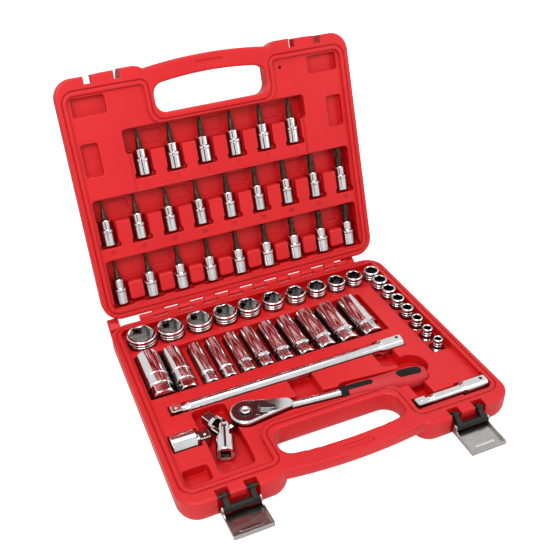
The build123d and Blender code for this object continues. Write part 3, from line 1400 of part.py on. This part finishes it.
# Every bit narrows from the holder to its working tip
def bit_neck(tip_radius):
    tip_start = BIT_HOLDER_LENGTH + BIT_TIP_LENGTH - BIT_POINT_LENGTH
    root = max(BIT_ROOT_RADIUS, tip_radius)
    inside = min(root, BIT_BORE_RADIUS)
    clear = BIT_HOLDER_LENGTH + STOP_CLEARANCE
    profile = [(0, BIT_HOLDER_LENGTH - BIT_BURY / 2), (inside, BIT_HOLDER_LENGTH - BIT_BURY / 2)]
    if root > inside:
        profile += [(inside, clear), (root, clear)]
    profile += [(root, BIT_HOLDER_LENGTH + BIT_NECK_STRAIGHT), (tip_radius, tip_start), (0, tip_start)]
    return bit_shank() + turned(profile)


def cross_point_bit(tip_radius):
    top = BIT_HOLDER_LENGTH + BIT_TIP_LENGTH
    tip_start = top - BIT_POINT_LENGTH
    point = turned(
        (
            (0, tip_start),
            (tip_radius, tip_start),
            (tip_radius, top - tip_radius * 1.6),
            (tip_radius * 0.3, top),
            (0, top),
        )
    )
    for quarter in range(4):
        corner = Pos(tip_radius * 0.95, tip_radius * 0.95, tip_start)
        flute = corner * Box(tip_radius * 1.2, tip_radius * 1.2, 30, align=LOW)
        point -= Rot(0, 0, 90 * quarter) * flute
    return bit_neck(tip_radius) + point


def star_bit(tip_radius):
    points = []
    lobes = 6
    for number in range(lobes * 2):
        radius = tip_radius * (0.74 if number % 2 else 1.0)
        angle = math.pi * number / lobes
        points.append((radius * math.cos(angle), radius * math.sin(angle)))
    star = extrude(make_face(Polyline(*points, close=True)), BIT_POINT_LENGTH)
    tip_start = BIT_HOLDER_LENGTH + BIT_TIP_LENGTH - BIT_POINT_LENGTH
    return bit_neck(tip_radius) + Pos(0, 0, tip_start) * star


def hex_bit(across_flats):
    top = BIT_HOLDER_LENGTH + BIT_TIP_LENGTH
    tip = hex_prism(across_flats, top - BIT_POINT_LENGTH, top)
    tip = chamfer(tip.faces().sort_by(Axis.Z)[-1].edges(), 0.4)
    return bit_neck(across_flats / 2) + tip


def lay_bit(shape, x, foot):
    return LID_PLACE * Pos(-x, -foot, -BIT_AXIS) * Rot(90, 0, 0) * shape


CROSS_TIPS = (2.2, 2.5, 2.8, 2.4, 2.7, 3.0)
STAR_TIPS = (1.5, 1.8, 2.1, 2.4, 2.7, 3.0, 3.4, 3.8, 4.2)
HEX_TIPS = (3.0, 3.5, 4.0, 4.5, 5.0, 5.5, 6.0, 7.0, 8.0)


def save_bits():
    holders = []
    for row in range(len(BIT_ROWS)):
        for x, foot in bit_places(row):
            holders.append(lay_bit(bit_holder(), x, foot))
    save("bit_holders", Compound(children=holders))
    kinds = (
        ("cross_point_bits", cross_point_bit, CROSS_TIPS),
        ("star_bits", star_bit, STAR_TIPS),
        ("hex_bits", hex_bit, HEX_TIPS),
    )
    for row, (name, make, tips) in enumerate(kinds):
        bits = [lay_bit(make(tip), x, foot) for tip, (x, foot) in zip(tips, bit_places(row))]
        save(name, Compound(children=bits))


def save_sockets():
    for size, length, x, from_hinge in standing_sockets():
        seat = BASE_PLACE * Pos(x, -from_hinge, TOOL_TOP - length + STOP_CLEARANCE / 2)
        save("socket_%02dmm" % size, seat * shallow_socket(size, length))
    for (size, _), x in zip(DEEP_SOCKETS, DEEP_PLACES):
        save("deep_socket_%02dmm" % size, BASE_PLACE * lay_down(deep_socket(size), x))
    for (size, _), x in zip(SPARK_SOCKETS, SPARK_PLACES):
        save("spark_plug_socket_%02dmm" % size, BASE_PLACE * lay_down(spark_socket(size), x))


def save_ratchet():
    pieces = (
        ("ratchet_body", ratchet_body()),
        ("ratchet_cover", ratchet_cover()),
        ("ratchet_drive_gear", drive_gear()),
        ("ratchet_pawl", pawl()),
        ("ratchet_reverse_lever", reverse_lever()),
        ("ratchet_release_button", release_button()),
        ("ratchet_grip", ratchet_grip()),
    )
    for name, shape in pieces:
        save(name, BASE_PLACE * lay_ratchet(shape))
    groups = (("ratchet_cover_screws", cover_screws()), ("ratchet_grip_inlays", grip_inlays()))
    for name, shapes in groups:
        save(name, Compound(children=[BASE_PLACE * lay_ratchet(shape) for shape in shapes]))


def save_universal_joint():
    save("universal_joint_socket_fork", BASE_PLACE * lay_joint(joint_socket_fork(), False))
    save("universal_joint_block", BASE_PLACE * lay_joint(joint_block(), True))
    pins = [BASE_PLACE * lay_joint(pin, True) for pin in joint_pins()]
    save("universal_joint_pins", Compound(children=pins))
    save("universal_joint_drive_fork", BASE_PLACE * lay_joint(joint_drive_fork(), True))


def save_case():
    save("base_shell", BASE_PLACE * base_shell())
    save("lid_shell", LID_PLACE * lid_shell())
    save("hinge_pin", BASE_PLACE * hinge_pin())
    pins = [BASE_PLACE * latch_pivot_pin(side * LATCH_PLACE) for side in (-1, 1)]
    save("latch_pivot_pins", Compound(children=pins))
    for name, side in (("left", -1), ("right", 1)):
        x = side * LATCH_PLACE
        save("latch_link_" + name, BASE_PLACE * latch_link(x))
        save("latch_plate_" + name, BASE_PLACE * latch_plate(x))
        save("latch_plate_pin_" + name, BASE_PLACE * latch_plate_pin(x))


def save_bars():
    bars = (
        ("long", LONG_BAR_LENGTH, LONG_BAR_TIP, LONG_BAR_FROM_HINGE),
        ("short", SHORT_BAR_LENGTH, SHORT_BAR_TIP, SHORT_BAR_FROM_HINGE),
    )
    for name, length, tip, from_hinge in bars:
        bar = lay_bar(extension_bar(length), tip, length, from_hinge)
        save("extension_bar_" + name, BASE_PLACE * bar)
    save("drive_adapter", BASE_PLACE * adapter())


save_case()
save_sockets()
save_bars()
save_universal_joint()
save_ratchet()
save_bits()
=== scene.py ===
import bpy
import bmesh
import json
import math
from mathutils import Matrix, Vector


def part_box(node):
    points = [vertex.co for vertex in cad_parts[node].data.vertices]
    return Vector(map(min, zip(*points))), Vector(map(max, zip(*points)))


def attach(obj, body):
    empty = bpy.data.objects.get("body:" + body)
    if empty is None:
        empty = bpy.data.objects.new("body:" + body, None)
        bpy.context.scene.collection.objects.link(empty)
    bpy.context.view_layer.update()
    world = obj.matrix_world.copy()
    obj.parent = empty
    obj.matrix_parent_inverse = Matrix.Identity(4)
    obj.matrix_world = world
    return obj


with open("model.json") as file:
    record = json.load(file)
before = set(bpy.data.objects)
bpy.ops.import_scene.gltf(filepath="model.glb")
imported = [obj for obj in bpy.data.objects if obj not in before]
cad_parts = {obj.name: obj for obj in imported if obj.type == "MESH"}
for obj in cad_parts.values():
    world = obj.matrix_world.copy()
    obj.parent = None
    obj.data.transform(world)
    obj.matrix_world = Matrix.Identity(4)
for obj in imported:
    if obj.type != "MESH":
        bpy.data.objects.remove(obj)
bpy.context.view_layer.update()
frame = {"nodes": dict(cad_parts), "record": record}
scene = bpy.context.scene
nodes = frame["nodes"]
record = frame["record"]
print("frame loaded:", len(nodes), "nodes")


# parts that the materials are made of
def newMaterial(name):
    mat = bpy.data.materials.new(name)
    mat.use_nodes = True
    tree = mat.node_tree
    return mat, tree, tree.nodes["Principled BSDF"]


def objectCoords(tree, lay=(1, 1, 1)):
    coords = tree.nodes.new("ShaderNodeTexCoord")
    mapping = tree.nodes.new("ShaderNodeMapping")
    mapping.inputs["Scale"].default_value = lay   # a small value draws the pattern out along its axis
    tree.links.new(coords.outputs["Object"], mapping.inputs["Vector"])
    return mapping.outputs["Vector"]


def noiseOn(tree, vector, scale, detail=3.0):
    noise = tree.nodes.new("ShaderNodeTexNoise")
    noise.inputs["Scale"].default_value = scale
    noise.inputs["Detail"].default_value = detail
    noise.inputs["Roughness"].default_value = 0.5
    tree.links.new(vector, noise.inputs["Vector"])
    return noise.outputs["Fac"]


def rampOn(tree, factor, low, high, span=(0.3, 0.7)):
    ramp = tree.nodes.new("ShaderNodeValToRGB")
    first, last = ramp.color_ramp.elements[0], ramp.color_ramp.elements[1]
    first.position, last.position = span
    first.color, last.color = low, high
    tree.links.new(factor, ramp.inputs["Fac"])
    return ramp.outputs["Color"]


def tintOn(tree, shader, colour):
    tree.links.new(colour, shader.inputs["Base Color"])


def roughOn(tree, shader, factor, rough):
    span = tree.nodes.new("ShaderNodeMapRange")
    span.inputs["To Min"].default_value = rough[0]
    span.inputs["To Max"].default_value = rough[1]
    tree.links.new(factor, span.inputs["Value"])
    tree.links.new(span.outputs["Result"], shader.inputs["Roughness"])


def bumpOn(tree, shader, height, relief, edge, step=0.0001):
    bump = tree.nodes.new("ShaderNodeBump")
    bump.inputs["Strength"].default_value = relief
    bump.inputs["Distance"].default_value = step
    tree.links.new(height, bump.inputs["Height"])
    soft = tree.nodes.new("ShaderNodeBevel")   # eases the edges
    soft.samples = 6
    soft.inputs["Radius"].default_value = edge
    tree.links.new(soft.outputs["Normal"], bump.inputs["Normal"])
    tree.links.new(bump.outputs["Normal"], shader.inputs["Normal"])


# soft shade where a surface sits deep beside its neighbours
def shadeOn(tree, colour, reach, deepest):
    depth = tree.nodes.new("ShaderNodeAmbientOcclusion")
    depth.samples = 16
    depth.inputs["Distance"].default_value = reach
    shade = rampOn(tree, depth.outputs["AO"], deepest, (1, 1, 1, 1), (0.18, 0.92))
    mix = tree.nodes.new("ShaderNodeMix")
    mix.data_type = "RGBA"
    mix.blend_type = "MULTIPLY"
    mix.inputs[0].default_value = 1.0   # full strength
    tree.links.new(colour, mix.inputs[6])
    tree.links.new(shade, mix.inputs[7])
    return mix.outputs[2]


# satin blow-moulded plastic of the case
casePlastic = {
    "light": (0.80, 0.022, 0.026, 1), "deep": (0.73, 0.016, 0.020, 1), "clouds": 14.0,
    "rough": (0.32, 0.42), "smears": 60.0, "specular": 0.34,
    "grain": 2200.0, "relief": 0.10, "step": 0.0002, "edge": 0.0022,
    "reach": 0.022, "shade": (0.74, 0.04, 0.06, 1),
}


def makeCasePlastic():
    mat, tree, shader = newMaterial("casePlasticRed")
    where = objectCoords(tree)
    clouds = noiseOn(tree, where, casePlastic["clouds"], 4.0)
    colour = rampOn(tree, clouds, casePlastic["deep"], casePlastic["light"])
    tintOn(tree, shader, shadeOn(tree, colour, casePlastic["reach"], casePlastic["shade"]))
    smears = noiseOn(tree, where, casePlastic["smears"], 5.0)
    roughOn(tree, shader, smears, casePlastic["rough"])
    grain = noiseOn(tree, where, casePlastic["grain"], 2.0)
    bumpOn(tree, shader, grain, casePlastic["relief"], casePlastic["edge"], casePlastic["step"])
    shader.inputs["Specular IOR Level"].default_value = casePlastic["specular"]
    return mat


# bright chrome plate with faint handling marks and polishing lines
chromePlate = {
    "colour": (0.68, 0.68, 0.69, 1), "dull": (0.61, 0.61, 0.62, 1), "span": (0.35, 0.6), "haze": 90.0,
    "rough": (0.05, 0.13), "lines": 900.0, "edge": 0.0003, "reach": 0.014,
    "lay": (1, 1, 6), "relief": 0.03, "shade": (0.38, 0.35, 0.32, 1),
    "layLying": (1, 0.05, 1), "reliefLying": 0.025, "shadeLying": (0.22, 0.20, 0.18, 1),
}


def makeChromePlate(name, lay, relief, shade):
    mat, tree, shader = newMaterial(name)
    haze = noiseOn(tree, objectCoords(tree), chromePlate["haze"], 4.0)
    colour = rampOn(tree, haze, chromePlate["dull"], chromePlate["colour"], chromePlate["span"])
    tintOn(tree, shader, shadeOn(tree, colour, chromePlate["reach"], shade))
    roughOn(tree, shader, haze, chromePlate["rough"])
    lines = noiseOn(tree, objectCoords(tree, lay), chromePlate["lines"])
    bumpOn(tree, shader, lines, relief, chromePlate["edge"])
    shader.inputs["Metallic"].default_value = 1.0
    return mat


# oiled black finish of the bits
blackedSteel = {
    "name": "blackedSteel", "low": (0.026, 0.015, 0.010, 1), "high": (0.085, 0.050, 0.034, 1),
    "scale": 240.0, "detail": 4.0, "rough": (0.28, 0.45), "metal": 0.85,
    "grain": 2400.0, "relief": 0.12, "edge": 0.0002,
}

# pressed sheet of the latches, brushed along its width
latchSheet = {
    "name": "latchSheet", "low": (0.34, 0.325, 0.31, 1), "high": (0.50, 0.48, 0.46, 1),
    "lay": (0.06, 1, 1), "scale": 1600.0, "detail": 4.0, "rough": (0.14, 0.26), "relief": 0.08, "edge": 0.0004,
}

# turned steel of the hinge pin and the latch pins
pinSteel = {
    "name": "pinSteel", "low": (0.24, 0.22, 0.20, 1), "high": (0.36, 0.33, 0.30, 1),
    "lay": (0.1, 1, 1), "scale": 1500.0, "detail": 3.0, "rough": (0.25, 0.4),
}

# smoked plate of the reversing lever
smokedSteel = {
    "name": "smokedSteel", "low": (0.09, 0.09, 0.09, 1), "high": (0.17, 0.17, 0.165, 1),
    "lay": (1, 0.08, 1), "scale": 1800.0, "detail": 4.0, "rough": (0.16, 0.30), "relief": 0.08, "edge": 0.0004,
}

# darker metal at the bottom of the rolled numbers
rolledMark = {
    "name": "rolledMark", "low": (0.10, 0.085, 0.08, 1), "high": (0.22, 0.20, 0.19, 1), "span": (0.35, 0.7),
    "scale": 1200.0, "detail": 3.0, "rough": (0.3, 0.5),
}


def makeMetal(look):
    mat, tree, shader = newMaterial(look["name"])
    where = objectCoords(tree, look.get("lay", (1, 1, 1)))
    pattern = noiseOn(tree, where, look["scale"], look["detail"])
    tintOn(tree, shader, rampOn(tree, pattern, look["low"], look["high"], look.get("span", (0.3, 0.7))))
    roughOn(tree, shader, pattern, look["rough"])
    if "relief" in look:
        height = noiseOn(tree, where, look["grain"]) if "grain" in look else pattern
        bumpOn(tree, shader, height, look["relief"], look["edge"])
    shader.inputs["Metallic"].default_value = look.get("metal", 1.0)
    return mat


# black moulding of the latch links
latchPlastic = {
    "low": (0.006, 0.0055, 0.005, 1), "high": (0.014, 0.013, 0.012, 1), "grain": 1500.0,
    "smears": 80.0, "rough": (0.38, 0.55), "specular": 0.28, "relief": 0.2, "edge": 0.0005,
}


def makeLatchPlastic():
    mat, tree, shader = newMaterial("latchPlasticBlack")
    where = objectCoords(tree)
    grain = noiseOn(tree, where, latchPlastic["grain"])
    tintOn(tree, shader, rampOn(tree, grain, latchPlastic["low"], latchPlastic["high"]))
    roughOn(tree, shader, noiseOn(tree, where, latchPlastic["smears"]), latchPlastic["rough"])
    bumpOn(tree, shader, grain, latchPlastic["relief"], latchPlastic["edge"])
    shader.inputs["Specular IOR Level"].default_value = latchPlastic["specular"]
    return mat


# red moulding of the ratchet's grip
gripPlastic = {
    "light": (0.70, 0.034, 0.042, 1), "deep": (0.60, 0.022, 0.030, 1), "clouds": 40.0,
    "grain": 2600.0, "rough": (0.50, 0.64), "relief": 0.25, "edge": 0.0006,
}


def makeGripPlastic():
    mat, tree, shader = newMaterial("gripPlasticRed")
    where = objectCoords(tree)
    clouds = noiseOn(tree, where, gripPlastic["clouds"], 4.0)
    tintOn(tree, shader, rampOn(tree, clouds, gripPlastic["deep"], gripPlastic["light"]))
    grain = noiseOn(tree, where, gripPlastic["grain"])
    roughOn(tree, shader, grain, gripPlastic["rough"])
    bumpOn(tree, shader, grain, gripPlastic["relief"], gripPlastic["edge"])
    return mat


# soft black inlays of the grip
gripRubber = {
    "low": (0.006, 0.006, 0.006, 1), "high": (0.015, 0.015, 0.014, 1), "clouds": 200.0,
    "dots": 900.0, "relief": 0.3, "step": 0.0002, "edge": 0.0005, "rough": 0.72, "specular": 0.16,
}


def makeGripRubber():
    mat, tree, shader = newMaterial("gripRubberBlack")
    where = objectCoords(tree)
    clouds = noiseOn(tree, where, gripRubber["clouds"])
    tintOn(tree, shader, rampOn(tree, clouds, gripRubber["low"], gripRubber["high"]))
    dots = tree.nodes.new("ShaderNodeTexVoronoi")
    dots.inputs["Scale"].default_value = gripRubber["dots"]
    tree.links.new(where, dots.inputs["Vector"])
    bumpOn(tree, shader, dots.outputs["Distance"], gripRubber["relief"], gripRubber["edge"], gripRubber["step"])
    shader.inputs["Roughness"].default_value = gripRubber["rough"]
    shader.inputs["Specular IOR Level"].default_value = gripRubber["specular"]
    return mat


finishes = {
    "case_plastic": makeCasePlastic(),
    "chrome": makeChromePlate("chromePlate", chromePlate["lay"], chromePlate["relief"], chromePlate["shade"]),
    "dark_steel": makeMetal(blackedSteel),
    "latch_steel": makeMetal(latchSheet),
    "pin_steel": makeMetal(pinSteel),
    "black_plastic": makeLatchPlastic(),
    "grip_plastic": makeGripPlastic(),
    "grip_rubber": makeGripRubber(),
}
polishedAlong = makeChromePlate(
    "chromePolishedAlong", chromePlate["layLying"], chromePlate["reliefLying"], chromePlate["shadeLying"]
)


def setFinishes():
    for part in record["subparts"]:
        for holder in nodes[part["node"]].material_slots:
            holder.material = finishes[part["material_slot"]]
    for name in nodes:
        if name.startswith(("deep_socket", "spark_plug_socket")):
            nodes[name].material_slots[0].material = polishedAlong
    nodes["ratchet_reverse_lever"].material_slots[0].material = makeMetal(smokedSteel)
    nodes["latch_pivot_pins"].material_slots[0].material = finishes["dark_steel"]


setFinishes()
print("finishes set")


# plain numbers, and the pieces that scene.py adds
bodyOf = {name: body for body, held in record["behaviour"]["bodies"].items() for name in held}
digitShare = 0.7   # height of a digit in the built-in face, as a share of its size


def digitMesh(word, tall, thick):
    curve = bpy.data.curves.new("digits", "FONT")
    curve.body = word
    curve.size = tall / digitShare
    curve.extrude = thick / 2
    curve.resolution_u = 3
    curve.align_x = "CENTER"
    curve.align_y = "CENTER"
    holder = bpy.data.objects.new("digits", curve)
    scene.collection.objects.link(holder)
    bpy.context.view_layer.update()
    mesh = bpy.data.meshes.new_from_object(holder.evaluated_get(bpy.context.evaluated_depsgraph_get()))
    bpy.data.objects.remove(holder)
    bpy.data.curves.remove(curve)
    return mesh


def addPiece(name, bm, mat, body):
    bmesh.ops.recalc_face_normals(bm, faces=bm.faces)
    mesh = bpy.data.meshes.new(name)
    bm.to_mesh(mesh)
    bm.free()
    mesh.materials.append(mat)
    piece = bpy.data.objects.new(name, mesh)
    scene.collection.objects.link(piece)
    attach(piece, body)
    return piece


# number rolled into a socket, repeated around its band
mark = {
    "tall": 0.0052, "tallStanding": 0.00416, "thick": 0.00008, "proud": 0.4, "slice": 0.0006,
    "bandInset": 0.0013, "groove": 0.0005, "driveEnd": 0.0078, "neckShare": 0.9,
    "nutShare": 1.22, "nutWall": 0.0022,   # outside width over the nut, from the socket's size
    "upStanding": 0.0048, "upDeep": 0.009, "upSpark": 0.0228,   # from the drive end
    "repeatsStanding": 4, "repeatsLying": 6,
}


def wrapDigits(bm, word, radius, place, turn, standing):
    mesh = digitMesh(word, mark["tallStanding"] if standing else mark["tall"], mark["thick"])
    part = bmesh.new()
    part.from_mesh(mesh)
    bpy.data.meshes.remove(mesh)
    wide = max(abs(v.co.x) for v in part.verts)
    step = -wide + mark["slice"]
    while step < wide:   # cut into strips, so that the number bends around the band
        everything = part.verts[:] + part.edges[:] + part.faces[:]
        bmesh.ops.bisect_plane(part, geom=everything, plane_co=(step, 0, 0), plane_no=(1, 0, 0))
        step += mark["slice"]
    for v in part.verts:
        angle = turn + v.co.x / radius
        reach = radius + v.co.z + mark["thick"] * mark["proud"]
        aside, out = reach * math.sin(angle), reach * math.cos(angle)
        if standing:
            v.co = (place[0] + aside, place[1] - out, place[2] + v.co.y)
        else:
            v.co = (place[0] + aside, place[1] + v.co.y, place[2] + out)
    joined = bpy.data.meshes.new("joined")
    part.to_mesh(joined)
    part.free()
    bm.from_mesh(joined)
    bpy.data.meshes.remove(joined)


def markSockets():
    ink = makeMetal(rolledMark)
    for name in nodes:
        if "socket_" not in name or not name.endswith("mm"):
            continue
        size = int(name[-4:-2])
        low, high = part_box(name)
        middle = (Vector(low) + Vector(high)) / 2
        nut = (mark["nutShare"] * size / 1000 + mark["nutWall"]) / 2
        widest = max(nut, mark["driveEnd"])
        standing = name.startswith("socket_")
        repeats = mark["repeatsStanding"] if standing else mark["repeatsLying"]
        if standing:
            radius = max(mark["driveEnd"], mark["neckShare"] * nut)
            place = (middle.x, middle.y, low[2] + mark["upStanding"])
        elif name.startswith("deep"):
            radius = max(mark["driveEnd"], widest - mark["bandInset"]) - mark["groove"]
            place = (middle.x, low[1] + mark["upDeep"], middle.z)
        else:
            radius = widest - mark["groove"]
            place = (middle.x, low[1] + mark["upSpark"], middle.z)
        bm = bmesh.new()
        for k in range(repeats):
            wrapDigits(bm, str(size), radius, place, math.radians(360 / repeats * k), standing)
        addPiece("sizeMark_" + name, bm, ink, bodyOf[name])


markSockets()
print("sockets marked")


# raised numbers under the bit seats of the lid: words, distance from the hinge, level
lidNumbers = {
    "rows": [
        (["1", "2", "3", "1", "2", "3"], 0.1436, -0.0050),
        (["10", "15", "20", "25", "27", "30", "40", "45", "50"], 0.0768, -0.0035),
    ],
    "pitch": 0.035, "tall": 0.0044, "thick": 0.0005, "hinge": (0, 0.1325, 0.032), "open": -109.4,
    "low": (0.27, 0.003, 0.006, 1), "high": (0.36, 0.005, 0.009, 1), "clouds": 300.0, "rough": (0.4, 0.55),
}


# the numbers' darker red is painted shade, so that they show as dark marks on the red panel
def makeNumberRed():
    mat, tree, shader = newMaterial("numberRed")
    clouds = noiseOn(tree, objectCoords(tree), lidNumbers["clouds"])
    tintOn(tree, shader, rampOn(tree, clouds, lidNumbers["low"], lidNumbers["high"]))
    roughOn(tree, shader, clouds, lidNumbers["rough"])
    return mat


def numberLid():
    lidPlace = (
        Matrix.Translation(lidNumbers["hinge"])
        @ Matrix.Rotation(math.radians(lidNumbers["open"]), 4, "X")
        @ Matrix.Rotation(math.pi, 4, "Y")
    )
    bm = bmesh.new()
    for words, fromHinge, level in lidNumbers["rows"]:
        for k, word in enumerate(words):
            x = (k - (len(words) - 1) / 2) * lidNumbers["pitch"]
            mesh = digitMesh(word, lidNumbers["tall"], lidNumbers["thick"])
            spot = Matrix.Translation((-x, -fromHinge, level)) @ Matrix.Rotation(math.pi, 4, "Z")
            mesh.transform(lidPlace @ spot)
            bm.from_mesh(mesh)
            bpy.data.meshes.remove(mesh)
    addPiece("lidNumbers", bm, makeNumberRed(), "lid")


numberLid()
print("lid numbered")


# folded rib across the inner face of each latch plate, near its lip
latchRib = {"long": 0.0215, "wide": 0.0026, "tall": 0.00026, "fromMiddle": 0.0098, "corner": 0.0009}


def sheetFrame(node):
    sums = {}
    for face in node.data.polygons:
        key = tuple(round(v, 2) for v in face.normal)
        area, middle, normal = sums.get(key, (0.0, Vector(), face.normal.copy()))
        sums[key] = (area + face.area, middle + face.center * face.area, normal)
    upward = [row for row in sums.values() if row[2].z > 0.3 and abs(row[2].x) < 0.1]
    area, middle, normal = max(upward, key=lambda row: row[0])   # the largest face
    across = Vector((1, 0, 0))
    along = across.cross(normal)   # runs from the pin out to the lip
    return Matrix.Translation(middle / area) @ Matrix((across, along, normal)).transposed().to_4x4()


def ribLatch(side):
    place = sheetFrame(nodes["latch_plate_" + side])
    bm = bmesh.new()
    bmesh.ops.create_cube(bm, size=1.0)
    bmesh.ops.scale(bm, vec=(latchRib["long"], latchRib["wide"], latchRib["tall"] * 2), verts=bm.verts)
    upright = [e for e in bm.edges if abs(e.verts[0].co.z - e.verts[1].co.z) > latchRib["tall"]]
    bmesh.ops.bevel(bm, geom=upright, offset=latchRib["corner"], segments=4, affect="EDGES")
    bmesh.ops.translate(bm, vec=(0, latchRib["fromMiddle"], 0), verts=bm.verts)
    bmesh.ops.transform(bm, matrix=place, verts=bm.verts)
    addPiece("latchRib_" + side, bm, finishes["chrome"], "plate_" + side)


ribLatch("left")
ribLatch("right")
print("latches ribbed")


# white studio: floor, world, lamps as place, aim, size and watts, and cards as place, aim, size and colour
studio = {
    "paper": (0.92, 0.92, 0.92, 1), "paperGlow": 0.86, "paperReach": 6.0, "matt": 0.9, "worldLight": 0.16,
    "lamps": {
        "keyBox": ((-0.55, -0.75, 1.10), (0, 0, 0.08), (0.9, 0.7), 13.0),
        "fillBox": ((0.95, -0.55, 0.70), (0, 0, 0.08), (0.7, 0.9), 3.0),
        "topBox": ((0.10, 0.25, 1.40), (0, 0, 0.05), (0.8, 0.6), 4.5),
    },
    "flags": {
        "darkFlag": ((-0.42, -1.10, 0.45), (0, 0.1, 0.15), (0.42, 0.34), (0.01, 0.01, 0.01, 1)),
        "redFlag": ((0.13, 0.53, 0.66), (-0.07, -0.05, 0.04), (0.34, 0.24), (0.16, 0.006, 0.012, 1)),
    },
}


def facing(place, aim):
    return (Vector(aim) - Vector(place)).to_track_quat("-Z", "Y")


def addSheet(name, matName, bm, colour):
    mesh = bpy.data.meshes.new(name)
    bm.to_mesh(mesh)
    bm.free()
    sheet = bpy.data.objects.new(name, mesh)
    scene.collection.objects.link(sheet)
    mat, tree, shader = newMaterial(matName)
    shader.inputs["Base Color"].default_value = colour
    shader.inputs["Roughness"].default_value = studio["matt"]
    mesh.materials.append(mat)
    return sheet, tree, shader


def addFloor():
    bm = bmesh.new()
    bmesh.ops.create_grid(bm, x_segments=1, y_segments=1, size=studio["paperReach"])
    floor, tree, shader = addSheet("studioFloor", "studioPaper", bm, studio["paper"])
    path = tree.nodes.new("ShaderNodeLightPath")
    glow = tree.nodes.new("ShaderNodeMath")
    glow.operation = "MULTIPLY"
    glow.inputs[1].default_value = studio["paperGlow"]
    tree.links.new(path.outputs["Is Camera Ray"], glow.inputs[0])
    shader.inputs["Emission Color"].default_value = (1, 1, 1, 1)
    tree.links.new(glow.outputs[0], shader.inputs["Emission Strength"])


def addWorld():
    world = bpy.data.worlds.new("studioWorld")
    scene.world = world
    world.use_nodes = True
    tree = world.node_tree
    sky = tree.nodes["Background"]
    path = tree.nodes.new("ShaderNodeLightPath")
    seen = path.outputs["Is Camera Ray"]
    for kind in ("Is Glossy Ray", "Is Transmission Ray"):
        either = tree.nodes.new("ShaderNodeMath")
        either.operation = "MAXIMUM"
        tree.links.new(seen, either.inputs[0])
        tree.links.new(path.outputs[kind], either.inputs[1])
        seen = either.outputs[0]
    level = tree.nodes.new("ShaderNodeMapRange")
    level.inputs["To Min"].default_value = studio["worldLight"]
    level.inputs["To Max"].default_value = 1.0
    tree.links.new(seen, level.inputs["Value"])
    tree.links.new(level.outputs["Result"], sky.inputs["Strength"])
    sky.inputs["Color"].default_value = (1, 1, 1, 1)


def addLamp(name, place, aim, size, watts):
    data = bpy.data.lights.new(name, "AREA")
    data.shape = "RECTANGLE"
    data.size, data.size_y = size
    data.energy = watts
    lamp = bpy.data.objects.new(name, data)
    lamp.location = place
    lamp.rotation_euler = facing(place, aim).to_euler()
    scene.collection.objects.link(lamp)


def addFlag(name, place, aim, size, colour):
    bm = bmesh.new()
    bmesh.ops.create_grid(bm, x_segments=1, y_segments=1, size=0.5)
    bmesh.ops.scale(bm, vec=(size[0], size[1], 1), verts=bm.verts)
    turn = facing(place, aim).to_matrix().to_4x4()
    bmesh.ops.transform(bm, matrix=Matrix.Translation(place) @ turn, verts=bm.verts)
    flag = addSheet(name, name, bm, colour)[0]
    flag.visible_camera = False   # seen only in reflections
    flag.visible_diffuse = False
    flag.visible_shadow = False


addFloor()
addWorld()
for name, lamp in studio["lamps"].items():
    addLamp(name, *lamp)
for name, flag in studio["flags"].items():
    addFlag(name, *flag)
print("studio set")


# camera where the photograph was taken from: place in metres, angles in degrees, lens and centre in pixels
shot = {
    "place": (-0.2397, -0.5160, 0.5336), "turn": 19.31, "down": 34.34, "roll": -3.49,
    "focal": 745.6, "centre": (235.5, 268.2), "frame": 560.0, "sensor": 36.0,
}


def placeCamera():
    data = bpy.data.cameras.new("shotCamera")
    cam = bpy.data.objects.new("shotCamera", data)
    scene.collection.objects.link(cam)
    turn, down, roll = (math.radians(shot[k]) for k in ("turn", "down", "roll"))
    ahead = Vector((math.sin(turn) * math.cos(down), math.cos(turn) * math.cos(down), -math.sin(down)))
    right = Vector((math.cos(turn), -math.sin(turn), 0))
    up = right.cross(ahead)
    right, up = right * math.cos(roll) + up * math.sin(roll), up * math.cos(roll) - right * math.sin(roll)
    axes = Matrix((right, up, -ahead)).transposed()
    cam.matrix_world = Matrix.Translation(shot["place"]) @ axes.to_4x4()
    data.sensor_width = shot["sensor"]
    data.lens = shot["focal"] / shot["frame"] * shot["sensor"]
    half = shot["frame"] / 2
    data.shift_x = (half - shot["centre"][0]) / shot["frame"]
    data.shift_y = (shot["centre"][1] - half) / shot["frame"]
    data.clip_start = 0.01
    data.dof.use_dof = False
    scene.camera = cam


placeCamera()
scene.view_settings.view_transform = "Standard"
print("camera set")
